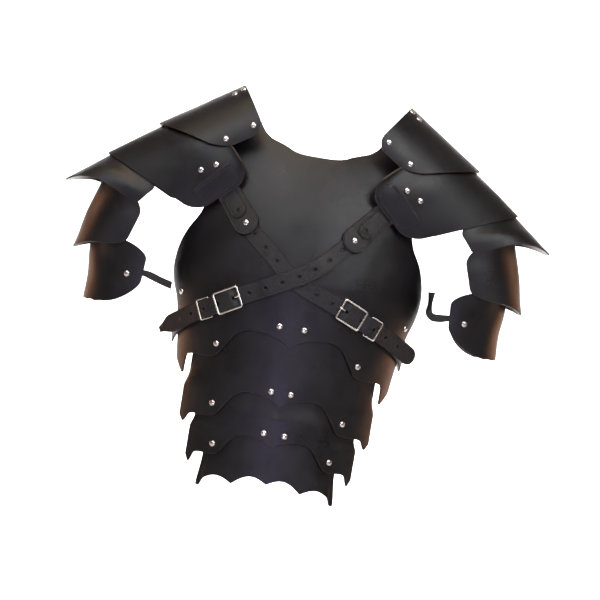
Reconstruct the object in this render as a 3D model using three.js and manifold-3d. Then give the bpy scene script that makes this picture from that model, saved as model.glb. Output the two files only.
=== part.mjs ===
// Leather chest armour: a breastplate with three belly lames, two shoulders of five lames each,
// and two buckled straps that cross on the chest and run round the back.
// Millimetres, +Z up, the chest faces -Y. "left" is the -X side, which is the wearer's right.
// The origin lies midway between the two shoulder caps, level with the undersides of their ridges,
// which is where the armour sits on the wearer's shoulders.
import * as THREE from "three";
import { mergeVertices } from "three/addons/utils/BufferGeometryUtils.js";
import Module from "manifold-3d";

// Walls and clearances
const WALL = 2.6;
const STRAP_WALL = 2.4;
const TAB_WALL = 2.4;
const GAP = 0.5;
const SIDE_TUCK = 3.4;
const SEAT_PULL = 5.5;
const TAB_PULL = 12;

// The form of the torso under the plates
const CHEST_HALF = 184;
const CHEST_DEPTH = 124;
const TORSO_DROP = 585;

// Breastplate and belly lames
const PLATE_HALF = 181;
const NECK_HALF = 84;
const NECK_DROP = 95;
const NECK_CORNER = 17;
const EAR_DROP = 56;
const LAP = 20;
const SCALLOP_RISE = 11;

// Shoulder lames
const SHOULDER_REACH = 359;
const SHOULDER_FALL = 344;
const SHOULDER_DEPTH = 96;
const LEFT_RISE = -4;
const LEFT_SPREAD = 9;
const LEFT_DEPTH = -3.5;

// Straps and their metal
const STRAP_WIDTH = 25;
const ARM_STRAP_WIDTH = 11;
const TAB_WIDTH = 38;
const TAB_LENGTH = 84;
const TAB_END = 16;
const TAB_LEAN = 48;
const TAIL_LENGTH = 78;
const FADE = 14;
const WAIST_STRAP_DROP = 316;
const WIRE = 3;
const ROLLER = 4.4;
const KEEPER_WIRE = 2;
const BUCKLE_LENGTH = 37;
const KEEPER_LENGTH = 18;
const TONGUE_WIDTH = 2.6;
const ARM_STRAP_WALL = 1.8;
const PATCH_WALL = 1.8;
const RIVET_HEAD = 9;
const RIVET_RISE = 2.6;

// Fineness of the faceted walls
const OGEE_STOPS = [0, 0.08, 0.17, 0.26, 0.35, 0.44, 0.52, 0.59, 0.66, 0.75, 0.84, 0.91, 0.96, 1];
const SCALLOP_STOPS = [0, 0.08, 0.17, 0.25, 0.33, 0.42, 0.5, 0.58, 0.67, 0.75, 0.84, 0.92, 0.96, 1];
const NECK_STOP = 3;
const LAME_ROWS = 6;
const SHOULDER_SPANS = 14;

const LEATHER = { color: 0x151416, roughness: 0.45, metalness: 0 };
const NICKEL = { color: 0xc9c8c4, roughness: 0.22, metalness: 1 };

// Half-width and depth of the torso at each drop below the shoulders, as shares.
const TORSO = [
  { drop: 0.0, half: 0.9, depth: 0.1 },
  { drop: 0.077, half: 0.98, depth: 0.37 },
  { drop: 0.161, half: 1.0, depth: 0.62 },
  { drop: 0.239, half: 1.0, depth: 0.78 },
  { drop: 0.338, half: 1.0, depth: 0.915 },
  { drop: 0.47, half: 1.0, depth: 1.0 },
  { drop: 0.603, half: 0.913, depth: 0.985 },
  { drop: 0.718, half: 0.866, depth: 0.955 },
  { drop: 0.829, half: 0.835, depth: 0.93 },
  { drop: 1.0, half: 0.815, depth: 0.915 },
];

// How far out the breastplate reaches at each drop: armhole, widest rib, then the flank.
const FLANK = [
  { drop: 0.09, half: 0.8 },
  { drop: 0.2, half: 0.785 },
  { drop: 0.27, half: 0.8 },
  { drop: 0.338, half: 0.85 },
  { drop: 0.386, half: 0.935 },
  { drop: 0.427, half: 0.983 },
  { drop: 0.47, half: 1.0 },
  { drop: 0.518, half: 0.98 },
  { drop: 0.557, half: 0.935 },
  { drop: 0.603, half: 0.903 },
  { drop: 0.718, half: 0.845 },
  { drop: 0.76, half: 0.805 },
];

// The neckline's reach from the centre, by drop as a share of the neck's own.
const NECKLINE = [
  { drop: 0.55, reach: 1.1 },
  { drop: 0.72, reach: 0.98 },
  { drop: 0.81, reach: 0.86 },
  { drop: 0.93, reach: 0.66 },
  { drop: 1.6, reach: 0.6 },
];

// One half of an ogee edge: an arch beside the centre point, a step down, and a spike at the end.
const OGEE = [
  { across: 0.0, fall: 0.36 },
  { across: 0.08, fall: 0.18 },
  { across: 0.2, fall: 0.04 },
  { across: 0.34, fall: 0.0 },
  { across: 0.46, fall: 0.16 },
  { across: 0.55, fall: 0.55 },
  { across: 0.63, fall: 0.9 },
  { across: 0.72, fall: 1.0 },
  { across: 0.85, fall: 1.0 },
  { across: 0.93, fall: 1.06 },
  { across: 1.0, fall: 1.0 },
];

// Where each torso plate ends: its half-width, and the drop, height and spike of its lower edge.
const EDGES = {
  breastplate: { half: 0.81, arch: 0.604, fall: 0.081, spike: 0.05 },
  upper: { half: 0.762, arch: 0.753, fall: 0.075, spike: 0.022 },
  middle: { half: 0.663, arch: 0.858, fall: 0.06, spike: 0.026 },
  lower: { half: 0.545, arch: 0.968, fall: 0.023, spike: 0.013 },
};

// Shoulder lames from the cap down. The ridge runs from (rx0, rz0) to the tip (rx1, rz1), the free
// end from its inner corner (ex0, ez0) to its outer corner (ex1, ez1), all as shares of reach and
// fall; depth0 and depth1 say how far forward those corners stand, bow how far the lower edge
// arches up, crest how far the upper edge does, lobe how round the free end is, corner over what share of the lame, hang how much the
// left and right sides differ, and seat the clearance under the lame above.
const SHOULDER = [
  {
    name: "shoulder_cap",
    rx0: 0.342, rz0: 0.0, rx1: 0.662, rz1: 0.221,
    ex0: 0.219, ez0: 0.196, ex1: 0.372, ez1: 0.3,
    depth0: 0.94, depth1: 0.94, bow: 0.0, crest: 0.0, lobe: 0.16, corner: 0.3, hang: 0.5, seat: 0,
  },
  {
    name: "chest_lame",
    rx0: 0.571, rz0: 0.169, rx1: 0.848, rz1: 0.38,
    ex0: 0.234, ez0: 0.4, ex1: 0.425, ez1: 0.575,
    depth0: 1.05, depth1: 0.85, bow: 0.0, crest: 0.06, lobe: 0.09, corner: 0.22, hang: 1.0, seat: 3.3,
  },
  {
    name: "arm_lame_upper",
    rx0: 0.766, rz0: 0.329, rx1: 1.0, rz1: 0.521,
    ex0: 0.6, ez0: 0.47, ex1: 0.7, ez1: 0.605,
    depth0: 0.76, depth1: 0.71, bow: 0.06, crest: 0.0, lobe: 0.3, corner: 0.3, hang: 0.4, seat: 1.5,
  },
  {
    name: "arm_lame_middle",
    rx0: 0.835, rz0: 0.49, rx1: 0.926, rz1: 0.795,
    ex0: 0.64, ez0: 0.56, ex1: 0.71, ez1: 0.79,
    depth0: 0.75, depth1: 0.71, bow: 0.03, crest: 0.0, lobe: 0.35, corner: 0.3, hang: 0.4, seat: 1.4,
  },
  {
    name: "arm_lame_lower",
    rx0: 0.84, rz0: 0.72, rx1: 0.85, rz1: 1.0,
    ex0: 0.61, ez0: 0.74, ex1: 0.625, ez1: 0.955,
    depth0: 0.76, depth1: 0.67, bow: -0.02, crest: 0.0, lobe: 0.4, corner: 0.3, hang: 0.0, seat: 1.15,
  },
];

// The two chest straps: where each runs round the torso, by angle from the front towards +X.
const STRAPS = [
  {
    name: "over",
    side: 1,
    path: [
      { angle: 36, drop: 0.268 },
      { angle: 21, drop: 0.352 },
      { angle: 8, drop: 0.425 },
      { angle: -3, drop: 0.466 },
      { angle: -32, drop: 0.542 },
      { angle: -49, drop: 0.578 },
      { angle: -90, drop: 0.65 },
    ],
    crossing: -3,
    buckle: -32,
    lifted: true,
    tabSeat: 1.9,
  },
  {
    name: "under",
    side: -1,
    path: [
      { angle: 42, drop: 0.268 },
      { angle: 28, drop: 0.352 },
      { angle: 13, drop: 0.42 },
      { angle: 3, drop: 0.468 },
      { angle: -26, drop: 0.528 },
      { angle: -41, drop: 0.556 },
      { angle: -90, drop: 0.63 },
    ],
    crossing: 3,
    buckle: -26,
    lifted: false,
    tabSeat: 0.8,
  },
];

// Rivets of the torso plates: the plate, the share of its half-width and the drop.
const BODY_RIVETS = [
  { name: "breast_centre", plate: "breastplate", across: 0.12, drop: 0.584 },
  { name: "breast_side", plate: "breastplate", across: 0.69, drop: 0.651 },
  { name: "breast_flank", plate: "breastplate", across: 1.11, drop: 0.54 },
  { name: "belly_upper_centre", plate: "upper", across: 0.102, drop: 0.743 },
  { name: "belly_upper_side", plate: "upper", across: 0.675, drop: 0.795 },
  { name: "belly_middle_centre", plate: "middle", across: 0.123, drop: 0.845 },
  { name: "belly_middle_side", plate: "middle", across: 0.695, drop: 0.892 },
];

// Rivets of the shoulder lames: place along the half round (0 ridge, 1 free end) and across it.
const SHOULDER_RIVETS = [
  { name: "cap_front_inner", lame: 0, round: 0.9, across: 0.16 },
  { name: "cap_front_outer", lame: 0, round: 0.9, across: 0.73 },
  { name: "cap_top_inner", lame: 0, round: 0.33, across: 0.04 },
  { name: "cap_top_outer", lame: 0, round: 0.33, across: 0.15 },
  { name: "chest_upper", lame: 1, round: 0.84, across: 0.3 },
  { name: "chest_lower", lame: 1, round: 0.81, across: 0.49 },
  { name: "arm_lower", lame: 4, round: 0.82, across: 0.55 },
];

const lerp = (a, b, t) => a + (b - a) * t;
const clamp = (v, low, high) => Math.min(high, Math.max(low, v));
const smooth = (t) => t * t * (3 - 2 * t);
const radians = (degrees) => (degrees * Math.PI) / 180;
const span = (count) => [...Array(count + 1).keys()].map((i) => i / count);

// A smooth curve through the rows of a table: Catmull-Rom in the column called by.
function along(rows, by, key, value) {
  const last = rows.length - 1;
  const rising = rows[last][by] > rows[0][by] ? 1 : -1;
  let i = 0;
  while (i < last - 1 && (value - rows[i + 1][by]) * rising > 0) i++;
  const at = (k) => rows[clamp(k, 0, last)];
  const step = at(i + 1)[by] - at(i)[by];
  const t = clamp((value - at(i)[by]) / step, 0, 1);
  const slope = (k) => {
    const width = at(k + 1)[by] - at(k - 1)[by];
    return ((at(k + 1)[key] - at(k - 1)[key]) / width) * step;
  };
  const rise = at(i + 1)[key] - at(i)[key];
  const hold = (m) => (m * rise <= 0 ? 0 : Math.sign(rise) * Math.min(Math.abs(m), 3 * Math.abs(rise)));
  const m0 = hold(slope(i));
  const m1 = hold(slope(i + 1));
  const t2 = t * t;
  const t3 = t2 * t;
  return (2 * t3 - 3 * t2 + 1) * at(i)[key] + (t3 - 2 * t2 + t) * m0
    + (3 * t2 - 2 * t3) * at(i + 1)[key] + (t3 - t2) * m1;
}

// Torso form

const torsoHalf = (drop) => CHEST_HALF * along(TORSO, "drop", "half", drop / TORSO_DROP);
const torsoDepth = (drop) => CHEST_DEPTH * along(TORSO, "drop", "depth", drop / TORSO_DROP);

// A point of the torso's surface, raised by lift along its normal. The angle runs from the front.
function onTorso(angle, drop, lift = 0) {
  const place = (a, d) => new THREE.Vector3(
    torsoHalf(d) * Math.sin(a), -torsoDepth(d) * Math.cos(a), -d);
  const step = 0.01;
  const round = place(angle + step, drop).sub(place(angle - step, drop));
  const down = place(angle, drop + 1).sub(place(angle, drop - 1));
  const normal = down.cross(round).normalize();
  const turn = round.length() / (2 * step);
  return { point: place(angle, drop).addScaledVector(normal, lift), normal, turn };
}

const angleAt = (x, drop) => Math.asin(clamp(x / torsoHalf(drop), -0.998, 0.998));

// Walls

function cross(a, b, c, d) {
  return b.clone().sub(a).cross(d.clone().sub(c)).normalize();
}

// A closed wall of even thickness round a grid of points. left says which cells stay open; the
// faces lie half the thickness to either side of the grid, the outer one where the rows run down
// and the columns run towards +X as seen from outside.
function wall(grid, thickness, left = () => false) {
  const rows = grid.length;
  const cols = grid[0].length;
  const at = (i, j) => grid[clamp(i, 0, rows - 1)][clamp(j, 0, cols - 1)];
  const points = [];
  const place = (i, j, side) => (i * cols + j) * 2 + side;
  for (let i = 0; i < rows; i++) {
    for (let j = 0; j < cols; j++) {
      const normal = cross(at(i - 1, j), at(i + 1, j), at(i, j - 1), at(i, j + 1));
      for (const side of [0.5, -0.5]) {
        points.push(...at(i, j).clone().addScaledVector(normal, side * thickness).toArray());
      }
    }
  }
  const faces = [];
  const quad = (a, b, c, d) => faces.push(a, b, c, a, c, d);
  const filled = (i, j) => i >= 0 && j >= 0 && i < rows - 1 && j < cols - 1 && !left(i, j);
  for (let i = 0; i < rows - 1; i++) {
    for (let j = 0; j < cols - 1; j++) {
      if (!filled(i, j)) continue;
      const corners = (side) => [
        place(i, j, side), place(i + 1, j, side), place(i + 1, j + 1, side), place(i, j + 1, side)];
      const outer = corners(0);
      const inner = corners(1);
      quad(...outer);
      quad(...[...inner].reverse());
      const rim = (k, l) => quad(outer[l], outer[k], inner[k], inner[l]);
      if (!filled(i, j - 1)) rim(0, 1);
      if (!filled(i + 1, j)) rim(1, 2);
      if (!filled(i, j + 1)) rim(2, 3);
      if (!filled(i - 1, j)) rim(3, 0);
    }
  }
  const geometry = new THREE.BufferGeometry();
  geometry.setAttribute("position", new THREE.Float32BufferAttribute(points, 3));
  geometry.setIndex(faces);
  return geometry;
}

const armour = new THREE.Group();
armour.name = "leather_chest_armour";

function add(name, geometry, finish) {
  const mesh = new THREE.Mesh(geometry, new THREE.MeshStandardMaterial(finish));
  mesh.name = name;
  armour.add(mesh);
  return mesh;
}

const SIDES = [
  { label: "left", sign: -1 },
  { label: "right", sign: 1 },
];

// Torso plates

// The spike at an edge's end: it peaks just inside the side, which is cut back up.
const SPIKE = { start: 0.9, peak: 0.96, cut: 0.55 };

function spikeShare(share) {
  const up = smooth(clamp((share - SPIKE.start) / (SPIKE.peak - SPIKE.start), 0, 1));
  return up * (1 - SPIKE.cut * clamp((share - SPIKE.peak) / (1 - SPIKE.peak), 0, 1));
}

// Drop of a plate's ogee edge at a share of its half-width.
function ogee(edge, across) {
  const share = clamp(Math.abs(across), 0, 1);
  const spike = spikeShare(share) * edge.spike;
  return TORSO_DROP * (edge.arch + edge.fall * along(OGEE, "across", "fall", share) + spike);
}

// Drop of the lowest lame's edge: four scallops between cusps.
function scallops(edge, across) {
  const share = clamp(Math.abs(across), 0, 1);
  const spike = spikeShare(share) * edge.spike;
  const rise = SCALLOP_RISE * Math.abs(Math.sin(2 * Math.PI * share));
  return TORSO_DROP * (edge.arch + edge.fall * share + spike) - rise;
}

// Drop of the hidden upper edge of the lame that tucks in under an edge.
function hiddenTop(upper, across) {
  const step = smooth(clamp((Math.abs(across) - 0.4) / 0.3, 0, 1));
  return TORSO_DROP * (upper.arch + upper.fall * 0.8 * step) - LAP;
}

const flankReach = (drop) => PLATE_HALF * along(FLANK, "drop", "half", drop / TORSO_DROP);

function breastplate() {
  const columns = OGEE_STOPS.length - 1;
  const lowRows = 11;
  const highRows = 4;
  const edge = EDGES.breastplate;
  const grid = [];
  for (let i = 0; i <= lowRows + highRows; i++) {
    const row = [];
    for (let j = -columns; j <= columns; j++) {
      const share = OGEE_STOPS[Math.abs(j)];
      const inner = clamp(share / OGEE_STOPS[NECK_STOP], 0, 1);
      const beyond = clamp((share - OGEE_STOPS[NECK_STOP]) / (1 - OGEE_STOPS[NECK_STOP]), 0, 1);
      const level = NECK_DROP - NECK_CORNER * inner ** 4;
      const drop = i <= highRows
        ? lerp(EAR_DROP, level, i / highRows)
        : lerp(level, ogee(edge, share), (i - highRows) / lowRows);
      const neck = NECK_HALF * along(NECKLINE, "drop", "reach", drop / NECK_DROP);
      const side = flankReach(drop);
      const low = smooth(clamp((drop - NECK_DROP * 1.6) / (NECK_DROP * 1.5), 0, 1));
      const x = lerp(inner < 1 ? neck * inner : lerp(neck, side, beyond), side * share, low);
      row.push(onTorso(Math.sign(j) * angleAt(x, drop), drop).point);
    }
    grid.push(row);
  }
  const isNeck = (i, j) => i < highRows && Math.abs(j + 0.5 - columns) < NECK_STOP;
  return wall(grid, WALL, isNeck);
}

// A lame that lies wholly under the edge above it at its top and comes out to the surface lower
// down, where the next one tucks in.
function bellyLame(upper, edge, shape, stops) {
  const halfWidth = edge.half * PLATE_HALF;
  const shares = [...stops.slice(1).reverse().map((s) => -s), ...stops];
  const grid = span(LAME_ROWS).map((v) =>
    shares.map((share) => {
      const x = share * halfWidth;
      const across = x / (upper.half * PLATE_HALF);
      const start = ogee(upper, across) + 4;
      const end = shape === scallops ? shape(edge, share) : hiddenTop(edge, share) - 6;
      const drop = lerp(hiddenTop(upper, across), shape(edge, share), v);
      const out = smooth(clamp((drop - start) / Math.max(end - start, 1), 0, 1));
      const under = WALL + GAP + SIDE_TUCK * Math.abs(share) ** 3;
      return onTorso(angleAt(x, drop), drop, -under * (1 - out)).point;
    }));
  return wall(grid, WALL);
}

add("breastplate", breastplate(), LEATHER);
const BELLY = [
  { name: "belly_lame_upper", upper: "breastplate", edge: "upper", shape: ogee, stops: OGEE_STOPS },
  { name: "belly_lame_middle", upper: "upper", edge: "middle", shape: ogee, stops: OGEE_STOPS },
  { name: "belly_lame_lower", upper: "middle", edge: "lower", shape: scallops, stops: SCALLOP_STOPS },
];
for (const { name, upper, edge, shape, stops } of BELLY) {
  add(name, bellyLame(EDGES[upper], EDGES[edge], shape, stops), LEATHER);
}

// Shoulder lames

// A point of a lame before it is seated. round runs from 0 at the ridge to 1 at the front free end
// and -1 at the back one; across runs from 0 at the upper edge to 1 at the lower. Seen from the
// front the lame spans ridge and free end in a straight line, from the side it is half an ellipse.
function lamePoint(lame, side, round, across) {
  const f = 1 - Math.cos((round * Math.PI) / 2);
  const lift = lerp(lame.crest, lame.bow, across) * 4 * f * (1 - f) * SHOULDER_FALL;
  const ridgeX = SHOULDER_REACH * lerp(lame.rx0, lame.rx1, across);
  const ridgeZ = SHOULDER_FALL * lerp(lame.rz0, lame.rz1, across);
  const endX = SHOULDER_REACH * lerp(lame.ex0, lame.ex1, across) - side * LEFT_SPREAD * lame.hang;
  const endZ = SHOULDER_FALL * lerp(lame.ez0, lame.ez1, across);
  const depth = SHOULDER_DEPTH * lerp(lame.depth0, lame.depth1, across) - side * LEFT_DEPTH * lame.hang;
  return new THREE.Vector3(
    side * lerp(ridgeX, endX, f),
    -depth * Math.sin((round * Math.PI) / 2),
    -side * LEFT_RISE - lerp(ridgeZ, endZ, f) + lift);
}

// How far round the lame goes at a place across it: the free ends' corners are rounded off, and the
// back half ends a little short of the front one.
const BACK_SHARE = 0.86;

function roundEnd(lame, across) {
  const beyond = Math.max(1 - across / lame.corner, 1 - (1 - across) / lame.corner, 0);
  return 1 - lame.lobe * (1 - Math.sqrt(1 - Math.min(beyond, 1) ** 2));
}

const ACROSS_STOPS = [0, 0.06, 0.3, 0.7, 0.94, 1];

// Points and outward normals spread over a seated lame, for the next one to lie under.
function spread(point, side) {
  const places = span(64).map((u) => side * (1 - 2 * u));
  const grid = span(16).map((across) => places.map((round) => point(round, across)));
  const found = [];
  for (let i = 0; i < grid.length; i++) {
    for (let j = 0; j < places.length; j++) {
      const row = (k) => grid[clamp(k, 0, grid.length - 1)];
      const col = (k) => clamp(k, 0, places.length - 1);
      const normal = cross(row(i - 1)[j], row(i + 1)[j], row(i)[col(j - 1)], row(i)[col(j + 1)]);
      found.push({ at: grid[i][j], normal });
    }
  }
  return found;
}

// Moves a point to one wall and a gap below the lame above, and lets the push fade out past that
// lame's edge.
function seat(point, above, under, pull, least = -Infinity) {
  let best = above[0];
  let nearest = Infinity;
  for (const spot of above) {
    const away = spot.at.distanceToSquared(point);
    if (away < nearest) {
      nearest = away;
      best = spot;
    }
  }
  const height = point.clone().sub(best.at).dot(best.normal);
  const beside = Math.sqrt(Math.max(nearest - height * height, 0));
  const fade = 1 - smooth(clamp((beside - 4) / FADE, 0, 1));
  const push = clamp(-(WALL + under) - height, least, pull) * fade;
  return point.clone().addScaledVector(best.normal, push);
}

const surfaces = {};
const spreads = {};
for (const side of SIDES) {
  let above = null;
  spreads[side.label] = [];
  surfaces[side.label] = SHOULDER.map((lame) => {
    const cover = above;
    const point = (round, across) => {
      const share = roundEnd(lame, across) * (round < 0 ? BACK_SHARE : 1);
      const own = lamePoint(lame, side.sign, round * share, across);
      return cover ? seat(own, cover, lame.seat, SEAT_PULL) : own;
    };
    above = spread(point, side.sign);
    spreads[side.label].push(above);
    const places = span(SHOULDER_SPANS).map((u) => side.sign * (1 - 2 * u));
    const grid = ACROSS_STOPS.map((across) => places.map((round) => point(round, across)));
    add(lame.name + "_" + side.label, wall(grid, WALL), LEATHER);
    return point;
  });
}

// Straps

const ON_PLATE = WALL / 2 + GAP + STRAP_WALL / 2;
const LAYER = STRAP_WALL + GAP;
const EDGE_RISE = 1.3;
const KEEPER_OFFSET = 13.2;
const TONGUE_LENGTH = 9;
const TONGUE_PAST = 2.6;
const CENTRE_BAR = 2.4;
const CENTRE_RISE = 3.7;
const BUCKLE_SAG = 0.9;

// Drop of a strap at an angle from the front; its way across the back mirrors the front's.
function strapDrop(strap, angle) {
  const folded = angle < -90 ? -180 - angle : angle;
  return TORSO_DROP * along(strap.path, "angle", "drop", folded);
}

// How high a strap's middle lies over the torso's own surface: up over the strap it crosses and
// off the flank's edge.
function strapLift(strap, angle) {
  const folded = angle < -90 ? -180 - angle : angle;
  const cross = 1 - smooth(clamp((Math.abs(folded - strap.crossing) - 10) / 7, 0, 1));
  const flank = smooth(clamp((Math.abs(folded) - 45) / 15, 0, 1));
  return ON_PLATE + flank * EDGE_RISE + (strap.lifted ? LAYER * cross : 0);
}

// Up over the buckle's centre bar and the keeper's inner bar, and down under the buckle's ends.
function tailLift(strap, angle) {
  const rows = [
    { past: -9, lift: ON_PLATE },
    { past: -4.2, lift: ON_PLATE + 0.3 },
    { past: -1.6, lift: ON_PLATE + LAYER + 1.4 },
    { past: 2.4, lift: ON_PLATE + LAYER + 1.2 },
    { past: 6.8, lift: ON_PLATE + LAYER + 1.1 },
    { past: KEEPER_OFFSET - 3, lift: ON_PLATE + LAYER + KEEPER_WIRE + GAP },
    { past: KEEPER_OFFSET + 4, lift: ON_PLATE + LAYER + KEEPER_WIRE },
  ];
  return along(rows, "past", "lift", clamp(strap.buckle - angle, -9, KEEPER_OFFSET + 4));
}

// A frame on the torso at a place of a strap: the point, the strap's way, its width's way and up.
function strapFrame(strap, angle, lift, way) {
  const at = (a) => {
    const drop = way(strap, a);
    return onTorso(radians(strap.side * a), drop, lift(strap, a));
  };
  const here = at(angle);
  const ahead = at(angle - 0.5).point.sub(at(angle + 0.5).point).normalize();
  const wide = ahead.clone().cross(here.normal).normalize();
  return { point: here.point, ahead, wide, up: wide.clone().cross(ahead).normalize() };
}

// Moves sideways from a strap's middle along the torso, so that the strap's edges lie on it too.
function hugging(strap, angle, lift, way, offset) {
  const frame = strapFrame(strap, angle, lift, way);
  const shape = onTorso(radians(strap.side * angle), way(strap, angle));
  const turned = onTorso(radians(strap.side * angle) + 0.01, way(strap, angle));
  const round = turned.point.sub(shape.point).normalize();
  const sideways = frame.wide.dot(round) * offset;
  const down = -frame.wide.z * offset;
  return onTorso(
    radians(strap.side * angle) + sideways / shape.turn,
    way(strap, angle) + down,
    lift(strap, angle)).point;
}

// A wall along a list of rows of points, turned so that its outer face looks away from the torso.
const ACROSS_STRAP = [1, 0, -1];

function strapRows(strap, from, to, steps, lift, way, width) {
  return span(steps).map((t) => {
    const angle = lerp(from, to, t);
    return ACROSS_STRAP.map((k) => hugging(strap, angle, lift, way, (k * width(t)) / 2));
  });
}

const evenWidth = () => STRAP_WIDTH;

// Lays a straight tail on after the last row, narrowing to a blunt tip.
function withTail(rows, length) {
  const last = rows[rows.length - 1];
  const before = rows[rows.length - 2];
  const ahead = last[1].clone().sub(before[1]).normalize();
  const tail = [0.5, 0.86, 1].map((t) => last.map((point, k) => {
    const narrow = t === 1 ? 0.5 : 0;
    const moved = point.clone().addScaledVector(ahead, length * t);
    return moved.lerp(last[1].clone().addScaledVector(ahead, length * t), k === 1 ? 0 : narrow);
  }));
  return [...rows, ...tail];
}

function join(first, second) {
  const solid = (geometry) => {
    const loose = geometry.index ? geometry.toNonIndexed() : geometry;
    const bare = new THREE.BufferGeometry();
    bare.setAttribute("position", loose.getAttribute("position"));
    const merged = mergeVertices(bare, 1e-3);
    const vertProperties = merged.getAttribute("position").array;
    const triVerts = new Uint32Array(merged.getIndex().array);
    return new wasm.Manifold(new wasm.Mesh({ numProp: 3, vertProperties, triVerts }));
  };
  const mesh = solid(first).add(solid(second)).getMesh();
  const geometry = new THREE.BufferGeometry();
  geometry.setAttribute("position", new THREE.BufferAttribute(mesh.vertProperties, 3));
  geometry.setIndex(new THREE.BufferAttribute(mesh.triVerts, 1));
  return geometry;
}

const wasm = await Module();
wasm.setup();

// A flat rectangular ring of wire: length along x, width along y.
function wireRing(length, width, wire) {
  const outline = (l, w) => [[-l, -w], [l, -w], [l, w], [-l, w]].map((p) => new THREE.Vector2(...p));
  const ring = new THREE.Shape(outline((length + wire) / 2, (width + wire) / 2));
  ring.holes.push(new THREE.Path(outline((length - wire) / 2, (width - wire) / 2)));
  const depth = wire * 0.8;
  return new THREE.ExtrudeGeometry(ring, { depth, bevelEnabled: false }).translate(0, 0, -depth / 2);
}

// Sets a piece into a strap's frame: x along the strap, y across it, z up, tipped about y.
function setOn(mesh, frame, tip) {
  const basis = new THREE.Matrix4().makeBasis(frame.ahead, frame.up.clone().cross(frame.ahead), frame.up);
  mesh.quaternion.setFromRotationMatrix(basis);
  mesh.rotateY(tip);
  mesh.position.copy(frame.point);
}

for (const strap of STRAPS) {
  const start = strap.path[1].angle + 2;
  const keeper = strap.buckle - KEEPER_OFFSET;

  const frontLift = (s, a) => Math.max(strapLift(s, a), a < s.buckle + 9 ? tailLift(s, a) : 0);
  const front = strapRows(strap, start, keeper - 4, 26, frontLift, strapDrop, evenWidth);
  add("chest_strap_" + strap.name, wall(withTail(front, TAIL_LENGTH), STRAP_WALL), LEATHER);

  const backStart = strap.buckle - 1.2;
  const backEnd = -180 - strap.path[0].angle;
  const back = strapRows(strap, backStart, backEnd, 26, strapLift, strapDrop, evenWidth);
  add("back_strap_" + strap.name, wall(back, STRAP_WALL), LEATHER);

  const rollerHeight = ON_PLATE + STRAP_WALL / 2 + GAP + ROLLER / 2;
  const farHeight = ON_PLATE + LAYER + 1.1 + STRAP_WALL / 2 + GAP + WIRE / 2;
  const buckleHeight = (farHeight + rollerHeight) / 2 - BUCKLE_SAG;
  const buckleLift = () => buckleHeight;
  const buckleTip = -Math.atan2(farHeight - rollerHeight, BUCKLE_LENGTH);
  const buckleFrame = strapFrame(strap, strap.buckle, buckleLift, strapDrop);
  const ring = wireRing(BUCKLE_LENGTH, STRAP_WIDTH + 2 + WIRE, WIRE);
  const roller = new THREE.CylinderGeometry(ROLLER / 2, ROLLER / 2, STRAP_WIDTH, 10)
    .translate(-BUCKLE_LENGTH / 2, 0, 0);
  const tongue = new THREE.BoxGeometry(TONGUE_LENGTH, TONGUE_WIDTH, TONGUE_WIDTH / 2)
    .translate((TONGUE_LENGTH - BUCKLE_LENGTH) / 2 - TONGUE_PAST, 0, ROLLER / 2);
  const sunk = buckleHeight - CENTRE_RISE;
  const barWidth = STRAP_WIDTH + 2 + WIRE;
  const bar = new THREE.BoxGeometry(CENTRE_BAR, barWidth + CENTRE_BAR, CENTRE_BAR).translate(0, 0, -sunk);
  const posts = [-1, 1].map((k) => new THREE.BoxGeometry(CENTRE_BAR, CENTRE_BAR, sunk + CENTRE_BAR / 2)
    .translate(0, (k * barWidth) / 2, -(sunk + CENTRE_BAR / 2) / 2));
  const whole = [roller, tongue, bar, ...posts].reduce((a, b) => join(a, b), ring);
  const buckle = add("buckle_" + strap.name, whole, NICKEL);
  setOn(buckle, buckleFrame, buckleTip);

  const inner = ON_PLATE + STRAP_WALL / 2 + GAP + KEEPER_WIRE / 2;
  const outer = ON_PLATE + LAYER + KEEPER_WIRE + STRAP_WALL / 2 + GAP + KEEPER_WIRE / 2;
  const keeperLift = () => (inner + outer) / 2 + 0.15;
  const keeperFrame = strapFrame(strap, keeper, keeperLift, strapDrop);
  const loop = add("keeper_" + strap.name, wireRing(KEEPER_LENGTH, STRAP_WIDTH + 4, KEEPER_WIRE), NICKEL);
  setOn(loop, keeperFrame, -Math.atan2(outer - inner + 1.2, KEEPER_LENGTH));
}

// The tab that hangs each chest strap from the free end of the chest lame: it lies over the
// strap's end at its round lower end, and on the plate higher up.
const TAB_ROWS = [0.02, 0.08, 0.17, 0.3, 0.45, 0.6, 0.72, 0.86, 1];

function tabRows(strap, cover) {
  const rivet = strap.path[1];
  const lean = radians(TAB_LEAN);
  return [...TAB_ROWS].reverse().map((t) => {
    const along = t * TAB_LENGTH - TAB_END;
    const end = clamp((TAB_WIDTH / 2 - t * TAB_LENGTH) / (TAB_WIDTH / 2), 0, 1);
    const half = (TAB_WIDTH / 2) * Math.sqrt(1 - end * end);
    const lift = ON_PLATE + LAYER * (1 - smooth(clamp((along - 6) / 22, 0, 1)));
    return [-1, 0, 1].map((k) => {
      const flat = along * Math.cos(lean) + k * half * Math.sin(lean);
      const rise = along * Math.sin(lean) - k * half * Math.cos(lean);
      const drop = TORSO_DROP * rivet.drop - rise;
      const turn = onTorso(radians(rivet.angle), drop).turn;
      const own = onTorso(strap.side * (radians(rivet.angle) + flat / turn), drop, lift).point;
      return seat(own, cover, strap.tabSeat, TAB_PULL, 0);
    });
  });
}

const mirrored = (rows, side) => (side < 0 ? rows.map((row) => [...row].reverse()) : rows);

const DOME = [
  { out: 0, rise: 0 },
  { out: 1, rise: 0 },
  { out: 0.8, rise: 0.62 },
  { out: 0.42, rise: 0.92 },
  { out: 0, rise: 1 },
];

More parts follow.
